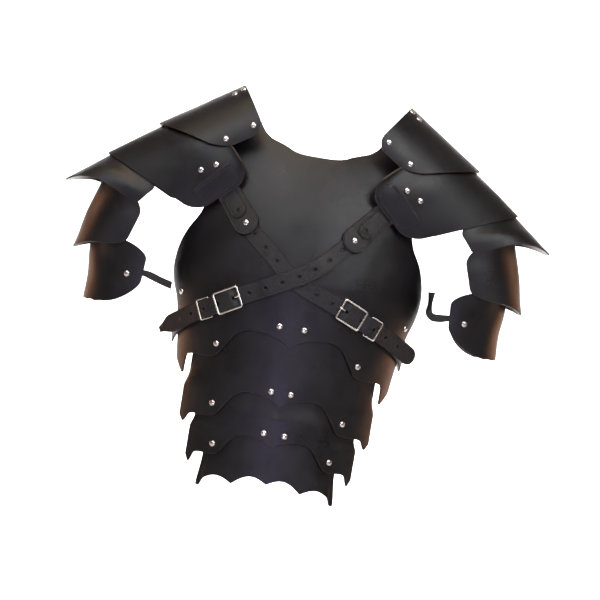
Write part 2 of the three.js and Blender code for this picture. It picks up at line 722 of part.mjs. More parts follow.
function dome(name, point, normal, gap = GAP) {
  const profile = DOME.map(({ out, rise }) => new THREE.Vector2(out * RIVET_HEAD / 2, rise * RIVET_RISE));
  const rivet = add("rivet_" + name, new THREE.LatheGeometry(profile, 10), NICKEL);
  rivet.position.copy(point).addScaledVector(normal, gap);
  rivet.quaternion.setFromUnitVectors(new THREE.Vector3(0, 1, 0), normal);
}

for (const strap of STRAPS) {
  const label = strap.side < 0 ? "left" : "right";
  add("hanger_tab_" + label, wall(mirrored(tabRows(strap, spreads[label][1]), strap.side), TAB_WALL), LEATHER);
  const rivet = strap.path[1];
  const top = ON_PLATE + LAYER + TAB_WALL / 2;
  const spot = onTorso(strap.side * radians(rivet.angle), TORSO_DROP * rivet.drop, top);
  dome("tab_" + label, spot.point, spot.normal);
}

for (const { name, plate, across, drop } of BODY_RIVETS) {
  for (const side of SIDES) {
    const depth = drop * TORSO_DROP;
    const x = side.sign * across * EDGES[plate].half * PLATE_HALF;
    const spot = onTorso(angleAt(x, depth), depth, WALL / 2);
    dome(name + "_" + side.label, spot.point, spot.normal);
  }
}

// A point and its outward normal on a seated shoulder lame.
function onLame(side, lame, round, across) {
  const point = surfaces[side.label][lame];
  const step = 0.02;
  const down = [point(round, across - step), point(round, across + step)];
  const way = side.sign * step;
  const normal = cross(...down, point(round + way, across), point(round - way, across));
  return { point: point(round, across), normal };
}

for (const side of SIDES) {
  for (const { name, lame, round, across } of SHOULDER_RIVETS) {
    const spot = onLame(side, lame, round, across);
    const foot = spot.point.addScaledVector(spot.normal, WALL / 2);
    dome(name + "_" + side.label, foot, spot.normal, GAP / 2);
  }
}

// The leather patch on the front free end of each chest lame.
const PATCH_SPAN = { round0: 0.872, round1: 0.985, across0: 0.16, across1: 0.76 };

for (const side of SIDES) {
  const rows = span(4).map((v) => span(3).map((u) => {
    const round = lerp(PATCH_SPAN.round1, PATCH_SPAN.round0, side.sign > 0 ? u : 1 - u);
    const spot = onLame(side, 1, round, lerp(PATCH_SPAN.across0, PATCH_SPAN.across1, v));
    return spot.point.addScaledVector(spot.normal, WALL / 2 + GAP + PATCH_WALL / 2);
  }));
  add("end_patch_" + side.label, wall(rows, PATCH_WALL), LEATHER);
}

// The narrow tie inside each lowest arm lame, from its rivet past the inner edge.
const TIE_ACROSS = 0.55;
const TIE_LAME_WIDTH = 96;
const TIES = {
  left: [
    { inward: 12, back: 0, up: -2, wideIn: 0, wideBack: 0, wideUp: -1 },
    { inward: 28, back: 3, up: -7, wideIn: 0, wideBack: 0, wideUp: -1 },
    { inward: 44, back: 8, up: -11, wideIn: 0, wideBack: 0, wideUp: -1 },
  ],
  right: [
    { inward: 12, back: 0, up: -2, wideIn: 0, wideBack: 0, wideUp: -1 },
    { inward: 25, back: 2, up: -2, wideIn: 0.25, wideBack: 0, wideUp: -0.97 },
    { inward: 31, back: 3, up: 5, wideIn: 0.75, wideBack: 0.25, wideUp: -0.6 },
    { inward: 31, back: 5, up: 18, wideIn: 0.45, wideBack: 0.89, wideUp: 0 },
    { inward: 31, back: 8, up: 33, wideIn: 0.94, wideBack: 0.34, wideUp: 0 },
  ],
};

for (const side of SIDES) {
  const inside = WALL / 2 + GAP + ARM_STRAP_WALL / 2;
  const held = [0.72, 0.86, 0.99].map((round) => [-1, 1].map((k) => {
    const across = TIE_ACROSS + (k * ARM_STRAP_WIDTH) / 2 / TIE_LAME_WIDTH;
    const spot = onLame(side, 4, round, across);
    return spot.point.addScaledVector(spot.normal, -inside);
  }));
  const last = held[held.length - 1];
  const middle = last[0].clone().add(last[1]).multiplyScalar(0.5);
  const loose = TIES[side.label].map((row) => [-1, 1].map((k) => middle.clone()
    .add(new THREE.Vector3(-side.sign * row.inward, row.back, row.up))
    .addScaledVector(new THREE.Vector3(-side.sign * row.wideIn, row.wideBack, row.wideUp),
      (k * ARM_STRAP_WIDTH) / 2)));
  const rows = [...held, ...loose].map((row) => (side.sign > 0 ? row : [...row].reverse()));
  add("arm_tie_" + side.label, wall(rows, ARM_STRAP_WALL), LEATHER);
}

// The strap that holds the breastplate round the back, inside it from flank rivet to flank rivet.
const WAIST_TURN = { from: -62, to: -298 };
const WAIST_SINK = ON_PLATE + 0.975;
const waist = span(28).map((t) => [1, 0, -1].map((k) => {
  const angle = radians(lerp(WAIST_TURN.from, WAIST_TURN.to, t));
  return onTorso(angle, WAIST_STRAP_DROP + (k * STRAP_WIDTH) / 2, -WAIST_SINK).point;
}));
add("waist_strap", wall(waist, STRAP_WALL), LEATHER);

export default armour;
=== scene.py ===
"""Looks of the leather chest armour: its walls, straps and fittings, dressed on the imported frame."""

import math

import bmesh
import bpy
import numpy as np
from mathutils import Matrix, Vector


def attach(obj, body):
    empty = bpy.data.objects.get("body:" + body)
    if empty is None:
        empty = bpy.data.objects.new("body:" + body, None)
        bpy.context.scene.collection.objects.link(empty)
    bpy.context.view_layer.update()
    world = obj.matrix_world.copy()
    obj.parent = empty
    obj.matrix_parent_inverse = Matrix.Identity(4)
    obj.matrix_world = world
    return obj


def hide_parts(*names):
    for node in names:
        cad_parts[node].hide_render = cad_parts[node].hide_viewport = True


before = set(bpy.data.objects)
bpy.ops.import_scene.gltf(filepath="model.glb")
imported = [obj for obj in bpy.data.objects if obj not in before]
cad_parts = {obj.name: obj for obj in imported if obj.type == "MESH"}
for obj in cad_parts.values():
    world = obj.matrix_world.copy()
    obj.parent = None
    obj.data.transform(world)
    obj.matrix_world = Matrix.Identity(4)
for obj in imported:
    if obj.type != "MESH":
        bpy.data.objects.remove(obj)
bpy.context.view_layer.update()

# Leather thicknesses and clearances, in metres like every length here
WALL = 0.0026
STRAP_WALL = 0.0024
TIE_WALL = 0.0018
PATCH_WALL = 0.0018
GAP = 0.0005
SIDE_TUCK = 0.0034
SEAT_PULL = 0.0055
TAB_PULL = 0.012

# Torso
CHEST_HALF = 0.184
CHEST_DEPTH = 0.124
TORSO_DROP = 0.585
PLATE_HALF = 0.181
NECK_HALF = 0.084
NECK_DROP = 0.095
NECK_CORNER = 0.017
EAR_DROP = 0.056
LAP = 0.020
SCALLOP_RISE = 0.011
SPIKE_START = 0.9
SPIKE_PEAK = 0.96
SPIKE_CUT = 0.55
NECK_SHARE = 0.26

# Shoulders
SHOULDER_REACH = 0.359
SHOULDER_FALL = 0.344
SHOULDER_DEPTH = 0.096
LEFT_RISE = -0.004
LEFT_SPREAD = 0.009
LEFT_DEPTH = -0.0035
FADE_FROM = 0.004
FADE = 0.014
SEAT_BLURS = 7
BACK_SHARE = 0.86

# Straps and fittings
STRAP_WIDTH = 0.025
TIE_WIDTH = 0.011
TAB_WIDTH = 0.038
TAB_LENGTH = 0.084
TAB_END = 0.016
TAB_LEAN = math.radians(48)
TAB_FLAT = 0.006
TAB_FALL = 0.022
TAB_TIP_SHARE = 0.02
END_WALL = 0.0016
END_WIDTH = 0.024
END_START = 0.0105
END_HOLE = 0.011
END_LIFT = 0.00005
TAIL_LENGTH = 0.078
TAIL_DROOP = 0.006
TAIL_BARE = 0.02
POINT_NOSE = 0.34
POINT_REACH = 0.95
HOLE_PITCH = 0.025
HOLE_RADIUS = 0.0021
WAIST_DROP = 0.316
EDGE_RISE = 0.0013
WIRE = 0.003
ROLLER = 0.0044
BUCKLE_LENGTH = 0.037
BUCKLE_SLACK = 0.002
BUCKLE_CORNER = 0.0028
BUCKLE_SAG = 0.0009
ROLLER_SLACK = 0.001
TONGUE_RADIUS = 0.0013
CENTRE_BAR = 0.0024
CENTRE_RISE = 0.0037
KEEPER_WIRE = 0.002
KEEPER_LENGTH = 0.018
KEEPER_SLACK = 0.004
KEEPER_CORNER = 0.0022
KEEPER_LIFT = 0.00015
KEEPER_TILT = 0.0012
RIVET_HEAD = 0.009
RIVET_RISE = 0.0026
RIVET_LIFT = 0.0001

# Places along the straps, in degrees round the torso
KEEPER_OFFSET = 13.2
TONGUE_PAST = 2.6
STRAP_START = 2
BACK_START = 1.2
CROSS_HALF = 10
CROSS_FADE = 7
FLANK_FROM = 45
FLANK_FADE = 15
WAIST_FROM = -62
WAIST_TO = -298

# How finely surfaces are sampled
ANGLE_STEP = 0.01
DROP_STEP = 0.001
STRAP_TURN_STEP = 0.5
STRAP_STEP = 0.00104
BACK_STEP = 0.003
LAME_ROUND = 64
LAME_WIDE = 16
PART_SIZE = 2000
SEAT_PART_SIZE = 1500

# The torso's half-width and depth, as shares of the chest's, by share of its drop
TORSO = {
    "drop": [0.0, 0.077, 0.161, 0.239, 0.338, 0.47, 0.603, 0.718, 0.829, 1.0],
    "half": [0.9, 0.98, 1.0, 1.0, 1.0, 1.0, 0.913, 0.866, 0.835, 0.815],
    "depth": [0.1, 0.37, 0.62, 0.78, 0.915, 1.0, 0.985, 0.955, 0.93, 0.915],
}
# The breastplate's side, as a share of its half-width, by share of the torso's drop
FLANK = {
    "drop": [0.09, 0.2, 0.27, 0.338, 0.386, 0.427, 0.47, 0.518, 0.557, 0.603, 0.718, 0.76],
    "half": [0.8, 0.785, 0.8, 0.85, 0.935, 0.983, 1.0, 0.98, 0.935, 0.903, 0.845, 0.805],
}
# The neckline's reach as a share of the neck's half-width, by share of the neck's drop
NECKLINE = {
    "drop": [0.55, 0.72, 0.81, 0.93, 1.6],
    "reach": [1.1, 0.98, 0.86, 0.66, 0.6],
}
# Half an ogee edge: its share of the fall by share of the half-width, from the centre point out
OGEE = {
    "across": [0.0, 0.08, 0.2, 0.34, 0.46, 0.55, 0.63, 0.72, 0.85, 0.93, 1.0],
    "fall": [0.36, 0.18, 0.04, 0.0, 0.16, 0.55, 0.9, 1.0, 1.0, 1.06, 1.0],
}
# Lower edges: half-width as a share of the plate's, and the arch's height, the fall and the side
# spike as shares of the torso's drop
EDGES = {
    "breastplate": {"half": 0.81, "arch": 0.604, "fall": 0.081, "spike": 0.05},
    "upper": {"half": 0.762, "arch": 0.753, "fall": 0.075, "spike": 0.022},
    "middle": {"half": 0.663, "arch": 0.858, "fall": 0.06, "spike": 0.026},
    "lower": {"half": 0.545, "arch": 0.968, "fall": 0.023, "spike": 0.013},
}

# Shoulder lames from the cap down: ridge from (rx0, rz0) to (rx1, rz1), free end from (ex0, ez0)
# to (ex1, ez1), as shares of reach and fall.
SHOULDER_COLUMNS = ("rx0", "rz0", "rx1", "rz1", "ex0", "ez0", "ex1", "ez1",
                    "depth0", "depth1", "bow", "crest", "lobe", "corner", "hang", "seat")
SHOULDER = {
    "shoulder_cap": (0.342, 0.0, 0.662, 0.221, 0.219, 0.196, 0.372, 0.3,
                     0.94, 0.94, 0.0, 0.0, 0.16, 0.3, 0.5, 0.0),
    "chest_lame": (0.571, 0.169, 0.848, 0.38, 0.234, 0.4, 0.425, 0.575,
                   1.05, 0.85, 0.0, 0.06, 0.09, 0.22, 1.0, 0.0033),
    "arm_lame_upper": (0.766, 0.329, 1.0, 0.521, 0.6, 0.47, 0.7, 0.605,
                       0.76, 0.71, 0.06, 0.0, 0.3, 0.3, 0.4, 0.0015),
    "arm_lame_middle": (0.835, 0.49, 0.926, 0.795, 0.64, 0.56, 0.71, 0.79,
                        0.75, 0.71, 0.03, 0.0, 0.35, 0.3, 0.4, 0.0014),
    "arm_lame_lower": (0.84, 0.72, 0.85, 1.0, 0.61, 0.74, 0.625, 0.955,
                       0.76, 0.67, -0.02, 0.0, 0.4, 0.3, 0.0, 0.00115),
}
SIDES = {"left": -1, "right": 1}

# Chest straps by angle from the front towards +X, in degrees, and share of the torso's drop
STRAPS = {
    "over": {
        "side": 1, "crossing": -3, "buckle": -32, "lifted": True, "tab_seat": 0.0019,
        "path": {"angle": [36, 21, 8, -3, -32, -49, -90],
                 "drop": [0.268, 0.352, 0.425, 0.466, 0.542, 0.578, 0.65]},
    },
    "under": {
        "side": -1, "crossing": 3, "buckle": -26, "lifted": False, "tab_seat": 0.0008,
        "path": {"angle": [42, 28, 13, 3, -26, -41, -90],
                 "drop": [0.268, 0.352, 0.42, 0.468, 0.528, 0.556, 0.63]},
    },
}

# Rivets on the torso: the plate, the share of its half-width and the share of the torso's drop
BODY_RIVETS = {
    "breast_centre": ("breastplate", 0.12, 0.584),
    "breast_side": ("breastplate", 0.69, 0.651),
    "breast_flank": ("breastplate", 1.11, 0.54),
    "belly_upper_centre": ("upper", 0.102, 0.743),
    "belly_upper_side": ("upper", 0.675, 0.795),
    "belly_middle_centre": ("middle", 0.123, 0.845),
    "belly_middle_side": ("middle", 0.695, 0.892),
}
# Rivets on the shoulders: the lame, the share of its way round and the share of its width
SHOULDER_RIVETS = {
    "cap_front_inner": ("shoulder_cap", 0.9, 0.16),
    "cap_front_outer": ("shoulder_cap", 0.9, 0.73),
    "cap_top_inner": ("shoulder_cap", 0.33, 0.04),
    "cap_top_outer": ("shoulder_cap", 0.33, 0.15),
    "chest_upper": ("chest_lame", 0.84, 0.3),
    "chest_lower": ("chest_lame", 0.81, 0.49),
    "arm_lower": ("arm_lame_lower", 0.82, 0.55),
}

# Patches: the part of the chest lame that they cover, and the ridge along their inner edge
PATCH = {"around": (0.872, 0.985), "across": (0.16, 0.76)}
PATCH_CORNER = 0.18
PATCH_LIFT = 0.0001
RIDGE_RISE = 0.0024
RIDGE_PLACE = 0.95
RIDGE_WIDTH = 0.08

# Ties: where they lie inside the lowest arm lame, and beyond it how far inward, back and up they
# are from its edge and which way their width runs there
TIE_ROUND = (0.72, 0.86, 0.99)
TIE_ACROSS = 0.55
TIE_LAME_WIDTH = 0.096
TIES = {
    "left": [(0.012, 0.0, -0.002, 0, 0, -1), (0.028, 0.003, -0.007, 0, 0, -1),
             (0.044, 0.008, -0.011, 0, 0, -1)],
    "right": [(0.012, 0.0, -0.002, 0, 0, -1), (0.025, 0.002, -0.002, 0.25, 0, -0.97),
              (0.031, 0.003, 0.005, 0.75, 0.25, -0.6), (0.031, 0.005, 0.018, 0.45, 0.89, 0),
              (0.031, 0.008, 0.033, 0.94, 0.34, 0)],
}

# Buckles: the roller's radius from end to end, the tongue from under the strap to past the roller,
# and the centre bar from side to side, with how far it is sunk
ROLLER_SHARES = [0.8, 0.97, 1, 1, 0.96, 1, 1, 0.97, 0.8]
TONGUE = {
    "way": [0.009, 0.0078, 0.0052, 0.0024, 0.0, -0.0018, -0.003],
    "height": [-0.003, -0.0008, 0.0016, 0.003, 0.0032, 0.0026, 0.0014],
    "radius": [1, 1, 1, 1, 1, 0.92, 0.7],
}
SUNK_BAR = {
    "side": [-1, -1, -0.97, -0.9, -0.5, 0, 0.5, 0.9, 0.97, 1, 1],
    "sunk": [0, 0.6, 0.9, 1, 1, 1, 1, 1, 0.9, 0.6, 0],
}
DOME_SKIRT = {"out": [0.02, 0.86, 1.0, 1.0], "rise": [0.0, 0.0, 0.05, 0.13]}

# Slow waves of hand-worked leather: how fast each runs along x, y and z, its phase and its height
WAVES = {
    "x": [61, -53, 133],
    "y": [23, 0, 71],
    "z": [47, 101, -89],
    "phase": [0, 1.7, 0.6],
    "height": [0.5, 0.35, 0.25],
}
PLATE_WAVE = 0.00035
LAME_WAVE = 0.0002

# The photograph's view
VIEW_AT = Vector((0.0081, 0.0, -0.3004))
VIEW_DISTANCE = 3.0
VIEW_YAW = math.radians(1.7)
VIEW_ROLL = math.radians(9.5)
VIEW_WIDTH = 0.8814
SENSOR = 36.0

# The pale floor, its sweep and its wall
FLOOR_DROP = 1.3
FLOOR_HALF = 9.0
SWEEP_RADIUS = 1.2
WALL_AWAY = 3.4
WALL_TOP = 6.0

# Lamps: place, aim, size, watts, colour and spread in degrees
NORTH_LIGHT = (0.97, 0.98, 1.0)
LAMP_GLOW = (1.0, 0.38, 0.11)
LAMPS = {
    "key": ((-1.1, -2.3, 1.75), (0, 0, -0.2), (1.7, 1.7), 11.5, NORTH_LIGHT, 95),
    "fill": ((1.4, -2.5, 1.45), (0, 0, -0.2), (1.7, 1.7), 15, NORTH_LIGHT, 95),
    "belly": ((-0.05, -2.5, -0.95), (0, 0, -0.4), (0.08, 0.9), 12, (0.62, 0.56, 1.0), 180),
    "top": ((-0.5, -0.7, 2.1), (0, 0, -0.1), (1.8, 0.6), 24, (1.0, 0.76, 0.52), 180),
    "warm left": ((-2.0, 1.25, -0.3), (0, 0, -0.3), (0.5, 1.4), 9, LAMP_GLOW, 180),
    "warm right": ((2.0, 1.25, -0.3), (0, 0, -0.3), (0.5, 1.4), 9, LAMP_GLOW, 180),
    "wall left": ((-1.5, 1.3, 1.5), (0.1, 3.0, -0.6), (0.8, 0.8), 75, (1, 1, 1), 110),
    "wall right": ((1.5, 1.3, 1.5), (-0.1, 3.0, -0.6), (0.8, 0.8), 75, (1, 1, 1), 110),
}


# Curves through tables

def lerp(a, b, t):
    """The share t of the way from a to b."""
    return a + (b - a) * t


def smooth(t):
    """The smoothstep: three t squared less two t cubed, held between 0 and 1."""
    t = np.clip(t, 0, 1)
    return t * t * (3 - 2 * t)


def along(table, column, by, value):
    """A monotone cubic through the table's rows: Hermite pieces whose slopes are those between the
    two neighbours, held to three times the piece's own rise."""
    xs = np.array(table[by], float)
    ys = np.array(table[column], float)
    if xs[0] > xs[-1]:
        xs, ys = xs[::-1], ys[::-1]
    value = np.asarray(value, float)
    i = np.clip(np.searchsorted(xs, value, side="left") - 1, 0, len(xs) - 2)
    step = xs[i + 1] - xs[i]
    t = np.clip((value - xs[i]) / step, 0, 1)
    before = np.maximum(np.arange(len(xs)) - 1, 0)
    after = np.minimum(np.arange(len(xs)) + 1, len(xs) - 1)
    slope = (ys[after] - ys[before]) / (xs[after] - xs[before])
    rise = ys[i + 1] - ys[i]

    def held(m):
        return np.where(m * rise <= 0, 0, np.sign(rise) * np.minimum(abs(m), 3 * abs(rise)))

    m0 = held(slope[i] * step)
    m1 = held(slope[i + 1] * step)
    t2, t3 = t * t, t * t * t
    return ((2 * t3 - 3 * t2 + 1) * ys[i] + (t3 - 2 * t2 + t) * m0
            + (3 * t2 - 2 * t3) * ys[i + 1] + (t3 - t2) * m1)


def unit(v):
    """Vectors divided by their own lengths."""
    return v / np.maximum(np.linalg.norm(v, axis=-1, keepdims=True), 1e-12)


# The torso's own surface

def torso_half(drop):
    """The torso's half-width at a drop."""
    return CHEST_HALF * along(TORSO, "half", "drop", drop / TORSO_DROP)


def torso_depth(drop):
    """The torso's depth at a drop."""
    return CHEST_DEPTH * along(TORSO, "depth", "drop", drop / TORSO_DROP)


def torso_place(angle, drop):
    """An ellipse at each drop: half-width times sine, minus depth times cosine, minus the drop."""
    half, depth = torso_half(drop), torso_depth(drop)
    return np.stack([half * np.sin(angle), -depth * np.cos(angle), -drop], -1)


def on_torso(angle, drop, lift=0.0):
    """The torso's point raised along its normal, with the normal and the metres to a radian."""
    angle, drop, lift = np.broadcast_arrays(angle, drop, lift)
    around = torso_place(angle + ANGLE_STEP, drop) - torso_place(angle - ANGLE_STEP, drop)
    down = torso_place(angle, drop + DROP_STEP) - torso_place(angle, drop - DROP_STEP)
    normal = unit(np.cross(down, around))
    turn = np.linalg.norm(around, axis=-1) / (2 * ANGLE_STEP)
    return torso_place(angle, drop) + normal * lift[..., None], normal, turn


def angle_at(x, drop):
    """The angle whose sine is x as a share of the torso's half-width."""
    return np.arcsin(np.clip(x / torso_half(drop), -0.998, 0.998))


# Meshes from grids

def grid_normals(grid):
    """The cross product of the way down and the way across between each point's neighbours."""
    wide = np.pad(grid, ((1, 1), (1, 1), (0, 0)), mode="edge")
    down = wide[2:, 1:-1] - wide[:-2, 1:-1]
    across = wide[1:-1, 2:] - wide[1:-1, :-2]
    return unit(np.cross(down, across))


def undulation(points):
    """The sum of the waves' sines, each of a skewed sum of the coordinates."""
    speeds = np.array([WAVES["x"], WAVES["y"], WAVES["z"]], float)
    return np.sin(points @ speeds + WAVES["phase"]) @ np.array(WAVES["height"])


def border_gap(points, faces):
    """Each point's distance from the nearest border: the edges that only one face has, with three
    points put on each."""
    edges = np.concatenate([faces[:, [k, (k + 1) % 4]] for k in range(4)])
    edges.sort(axis=1)
    found, count = np.unique(edges, axis=0, return_counts=True)
    rim = found[count == 1]
    ends = points[rim[:, 0]], points[rim[:, 1]]
    marks = np.concatenate([lerp(ends[0], ends[1], t) for t in (0.0, 0.33, 0.67)])
    gap = np.empty(len(points))
    for start in range(0, len(points), PART_SIZE):
        part = points[start:start + PART_SIZE]
        away = ((part[:, None, :] - marks[None, :, :]) ** 2).sum(-1)
        gap[start:start + PART_SIZE] = np.sqrt(away.min(1))
    return gap


def mesh_object(name, points, faces):
    """A mesh of four-cornered faces, all shaded smooth."""
    mesh = bpy.data.meshes.new(name)
    mesh.vertices.add(len(points))
    mesh.vertices.foreach_set("co", np.asarray(points, np.float32).ravel())
    mesh.loops.add(faces.size)
    mesh.loops.foreach_set("vertex_index", faces.astype(np.int32).ravel())
    mesh.polygons.add(len(faces))
    mesh.polygons.foreach_set("loop_start", np.arange(0, faces.size, 4, dtype=np.int32))
    mesh.polygons.foreach_set("use_smooth", np.ones(len(faces), bool))
    mesh.update(calc_edges=True)
    piece = bpy.data.objects.new(name, mesh)
    bpy.context.scene.collection.objects.link(piece)
    return piece


def grid_faces(rows, cols, closed=False):
    """The four corners of each cell of a grid, down then across; a closed grid joins its last
    column to its first."""
    i, j = np.meshgrid(np.arange(rows - 1), np.arange(cols if closed else cols - 1), indexing="ij")
    k = (j + 1) % cols
    return np.stack([i * cols + j, (i + 1) * cols + j, (i + 1) * cols + k, i * cols + k], -1)


def dress(piece, material, slot, *nodes):
    """Gives a finished piece its material and body, and hides the CAD nodes that it stands for. The slot is
    not used.
    """
    piece.data.materials.append(material)
    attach(piece, "root")
    if nodes:
        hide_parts(*nodes)
    return piece


def wall_piece(name, grid, thickness, material, slot, nodes, kept=None, round_edge=0.0007):
    """A leather wall: the grid's surface with half the thickness to either side and a rounded rim."""
    rows, cols = grid.shape[:2]
    faces = grid_faces(rows, cols).reshape(-1, 4)
    if kept is not None:
        faces = faces[kept.ravel()]
    used, faces = np.unique(faces, return_inverse=True)
    faces = faces.reshape(-1, 4)
    points = grid.reshape(-1, 3)[used]
    piece = mesh_object(name, points, faces)
    gap = piece.data.attributes.new("edge_gap", "FLOAT", "POINT")
    gap.data.foreach_set("value", border_gap(points, faces).astype(np.float32))
    solid = piece.modifiers.new("thickness", "SOLIDIFY")
    solid.thickness = thickness
    solid.offset = 0
    solid.use_even_offset = False
    rim = piece.modifiers.new("skived rim", "BEVEL")
    rim.width = round_edge
    rim.segments = 3
    rim.limit_method = "ANGLE"
    rim.angle_limit = math.radians(50)
    rim.harden_normals = True
    return dress(piece, material, slot, *nodes)


# Shader groups and materials

def group_with(name, inputs, outputs):
    """An empty shader node group with named float inputs and outputs."""
    group = bpy.data.node_groups.new(name, "ShaderNodeTree")
    for label, value in inputs.items():
        socket = group.interface.new_socket(label, in_out="INPUT", socket_type="NodeSocketFloat")
        socket.default_value = value
    for label in outputs:
        group.interface.new_socket(label, in_out="OUTPUT", socket_type="NodeSocketFloat")
    return group, group.nodes.new("NodeGroupInput"), group.nodes.new("NodeGroupOutput")


def maths(tree, operation, a, b=None):
    """A Math node whose inputs are sockets or numbers; gives its output."""
    node = tree.nodes.new("ShaderNodeMath")
    node.operation = operation
    for socket, value in zip(node.inputs, (a, b)):
        if value is None:
            continue
        if isinstance(value, bpy.types.NodeSocket):
            tree.links.new(value, socket)
        else:
            socket.default_value = value
    return node.outputs[0]


def ranged(tree, value, low, high, to_low=0.0, to_high=1.0):
    """A smoothstep of a value between two limits, from one end value to the other."""
    node = tree.nodes.new("ShaderNodeMapRange")
    node.interpolation_type = "SMOOTHSTEP"
    tree.links.new(value, node.inputs["Value"])
    for label, number in (("From Min", low), ("From Max", high), ("To Min", to_low), ("To Max", to_high)):
        node.inputs[label].default_value = number
    return node.outputs["Result"]


def noise(tree, place, scale, detail=3.0, rough=0.55, distortion=0.0):
    """A noise over the piece's own coordinates, from 0 to 1."""
    node = tree.nodes.new("ShaderNodeTexNoise")
    tree.links.new(place, node.inputs["Vector"])
    node.inputs["Scale"].default_value = scale
    node.inputs["Detail"].default_value = detail
    node.inputs["Roughness"].default_value = rough
    node.inputs["Distortion"].default_value = distortion
    return node.outputs["Fac"]


def leather_grain_group():
    """Leather's surface: pores from a fine noise, pebbles from the borders of Voronoi cells, and
    creases where a stretched noise passes its middle."""
    group, ins, outs = group_with(
        "leather_grain", {"Pebble Scale": 620.0, "Crease Amount": 0.2}, ("Height", "Tone", "Crease"))
    place = group.nodes.new("ShaderNodeTexCoord").outputs["Object"]
    cells = group.nodes.new("ShaderNodeTexVoronoi")
    cells.feature = "DISTANCE_TO_EDGE"
    group.links.new(place, cells.inputs["Vector"])
    group.links.new(ins.outputs["Pebble Scale"], cells.inputs["Scale"])
    pebble = ranged(group, cells.outputs["Distance"], 0.0, 0.16)
    pores = noise(group, place, 1500.0, 2.0)
    broad = noise(group, place, 24.0, 4.0, 0.6)
    stretched = noise(group, place, 150.0, 5.0, 0.62, 0.9)
    away = maths(group, "ABSOLUTE", maths(group, "SUBTRACT", stretched, 0.5))
    crease = ranged(group, away, 0.0, 0.035, 1.0, 0.0)
    worn = ranged(group, noise(group, place, 17.0, 2.0), 0.36, 0.6)
    crease = maths(group, "MULTIPLY", maths(group, "MULTIPLY", crease, worn), ins.outputs["Crease Amount"])
    height = maths(group, "ADD", maths(group, "MULTIPLY", pebble, 0.3), maths(group, "MULTIPLY", pores, 0.32))
    height = maths(group, "ADD", height, maths(group, "MULTIPLY", broad, 0.9))
    height = maths(group, "SUBTRACT", height, crease)
    group.links.new(height, outs.inputs["Height"])
    group.links.new(ranged(group, broad, 0.3, 0.7), outs.inputs["Tone"])
    group.links.new(crease, outs.inputs["Crease"])
    return group


def edge_wear_group():
    """A mask along cut edges, for worn brown edges on the plates and a painted shadow line on the straps:
    full at the border, gone at the reach, broken up by a noise.
    """
    group, ins, outs = group_with("edge_wear", {"Reach": 0.002}, ("Mask",))
    place = group.nodes.new("ShaderNodeTexCoord").outputs["Object"]
    gap = group.nodes.new("ShaderNodeAttribute")
    gap.attribute_name = "edge_gap"
    share = maths(group, "DIVIDE", gap.outputs["Fac"], ins.outputs["Reach"])
    rough = maths(group, "MULTIPLY", noise(group, place, 210.0, 4.0, 0.65), 0.9)
    mask = ranged(group, maths(group, "ADD", share, rough), 0.55, 1.25, 1.0, 0.0)
    group.links.new(mask, outs.inputs["Mask"])
    return group


def scuff_group():
    """Fine scuffs: a noise drawn out along one way, kept where a broad noise is high."""
    group, ins, outs = group_with("fine_scuffs", {"Amount": 0.5}, ("Mask",))
    place = group.nodes.new("ShaderNodeTexCoord").outputs["Object"]
    turned = group.nodes.new("ShaderNodeMapping")
    turned.inputs["Rotation"].default_value = (0.3, 0.5, 0.9)
    turned.inputs["Scale"].default_value = (1.0, 9.0, 1.0)
    group.links.new(place, turned.inputs["Vector"])
    lines = ranged(group, noise(group, turned.outputs[0], 160.0, 5.0, 0.7), 0.58, 0.72)
    where = ranged(group, noise(group, place, 19.0, 2.0), 0.45, 0.65)
    mask = maths(group, "MULTIPLY", maths(group, "MULTIPLY", lines, where), ins.outputs["Amount"])
    group.links.new(mask, outs.inputs["Mask"])
    return group


GRAIN = leather_grain_group()
EDGE_WEAR_AND_SHADE = edge_wear_group()
SCUFFS = scuff_group()


def placed(tree, group, **values):
    """A shader group in a material, with that material's own values."""
    node = tree.nodes.new("ShaderNodeGroup")
    node.node_tree = group
    for label, value in values.items():
        node.inputs[label.replace("_", " ")].default_value = value
    return node


def mixed(tree, amount, first, second):
    """A colour mix of two colours, or of a socket and a colour, by a value."""
    node = tree.nodes.new("ShaderNodeMix")
    node.data_type = "RGBA"
    tree.links.new(amount, node.inputs["Factor"])
    for socket, colour in ((node.inputs["A"], first), (node.inputs["B"], second)):
        if isinstance(colour, bpy.types.NodeSocket):
            tree.links.new(colour, socket)
        else:
            socket.default_value = (*colour, 1.0)
    return node.outputs["Result"]


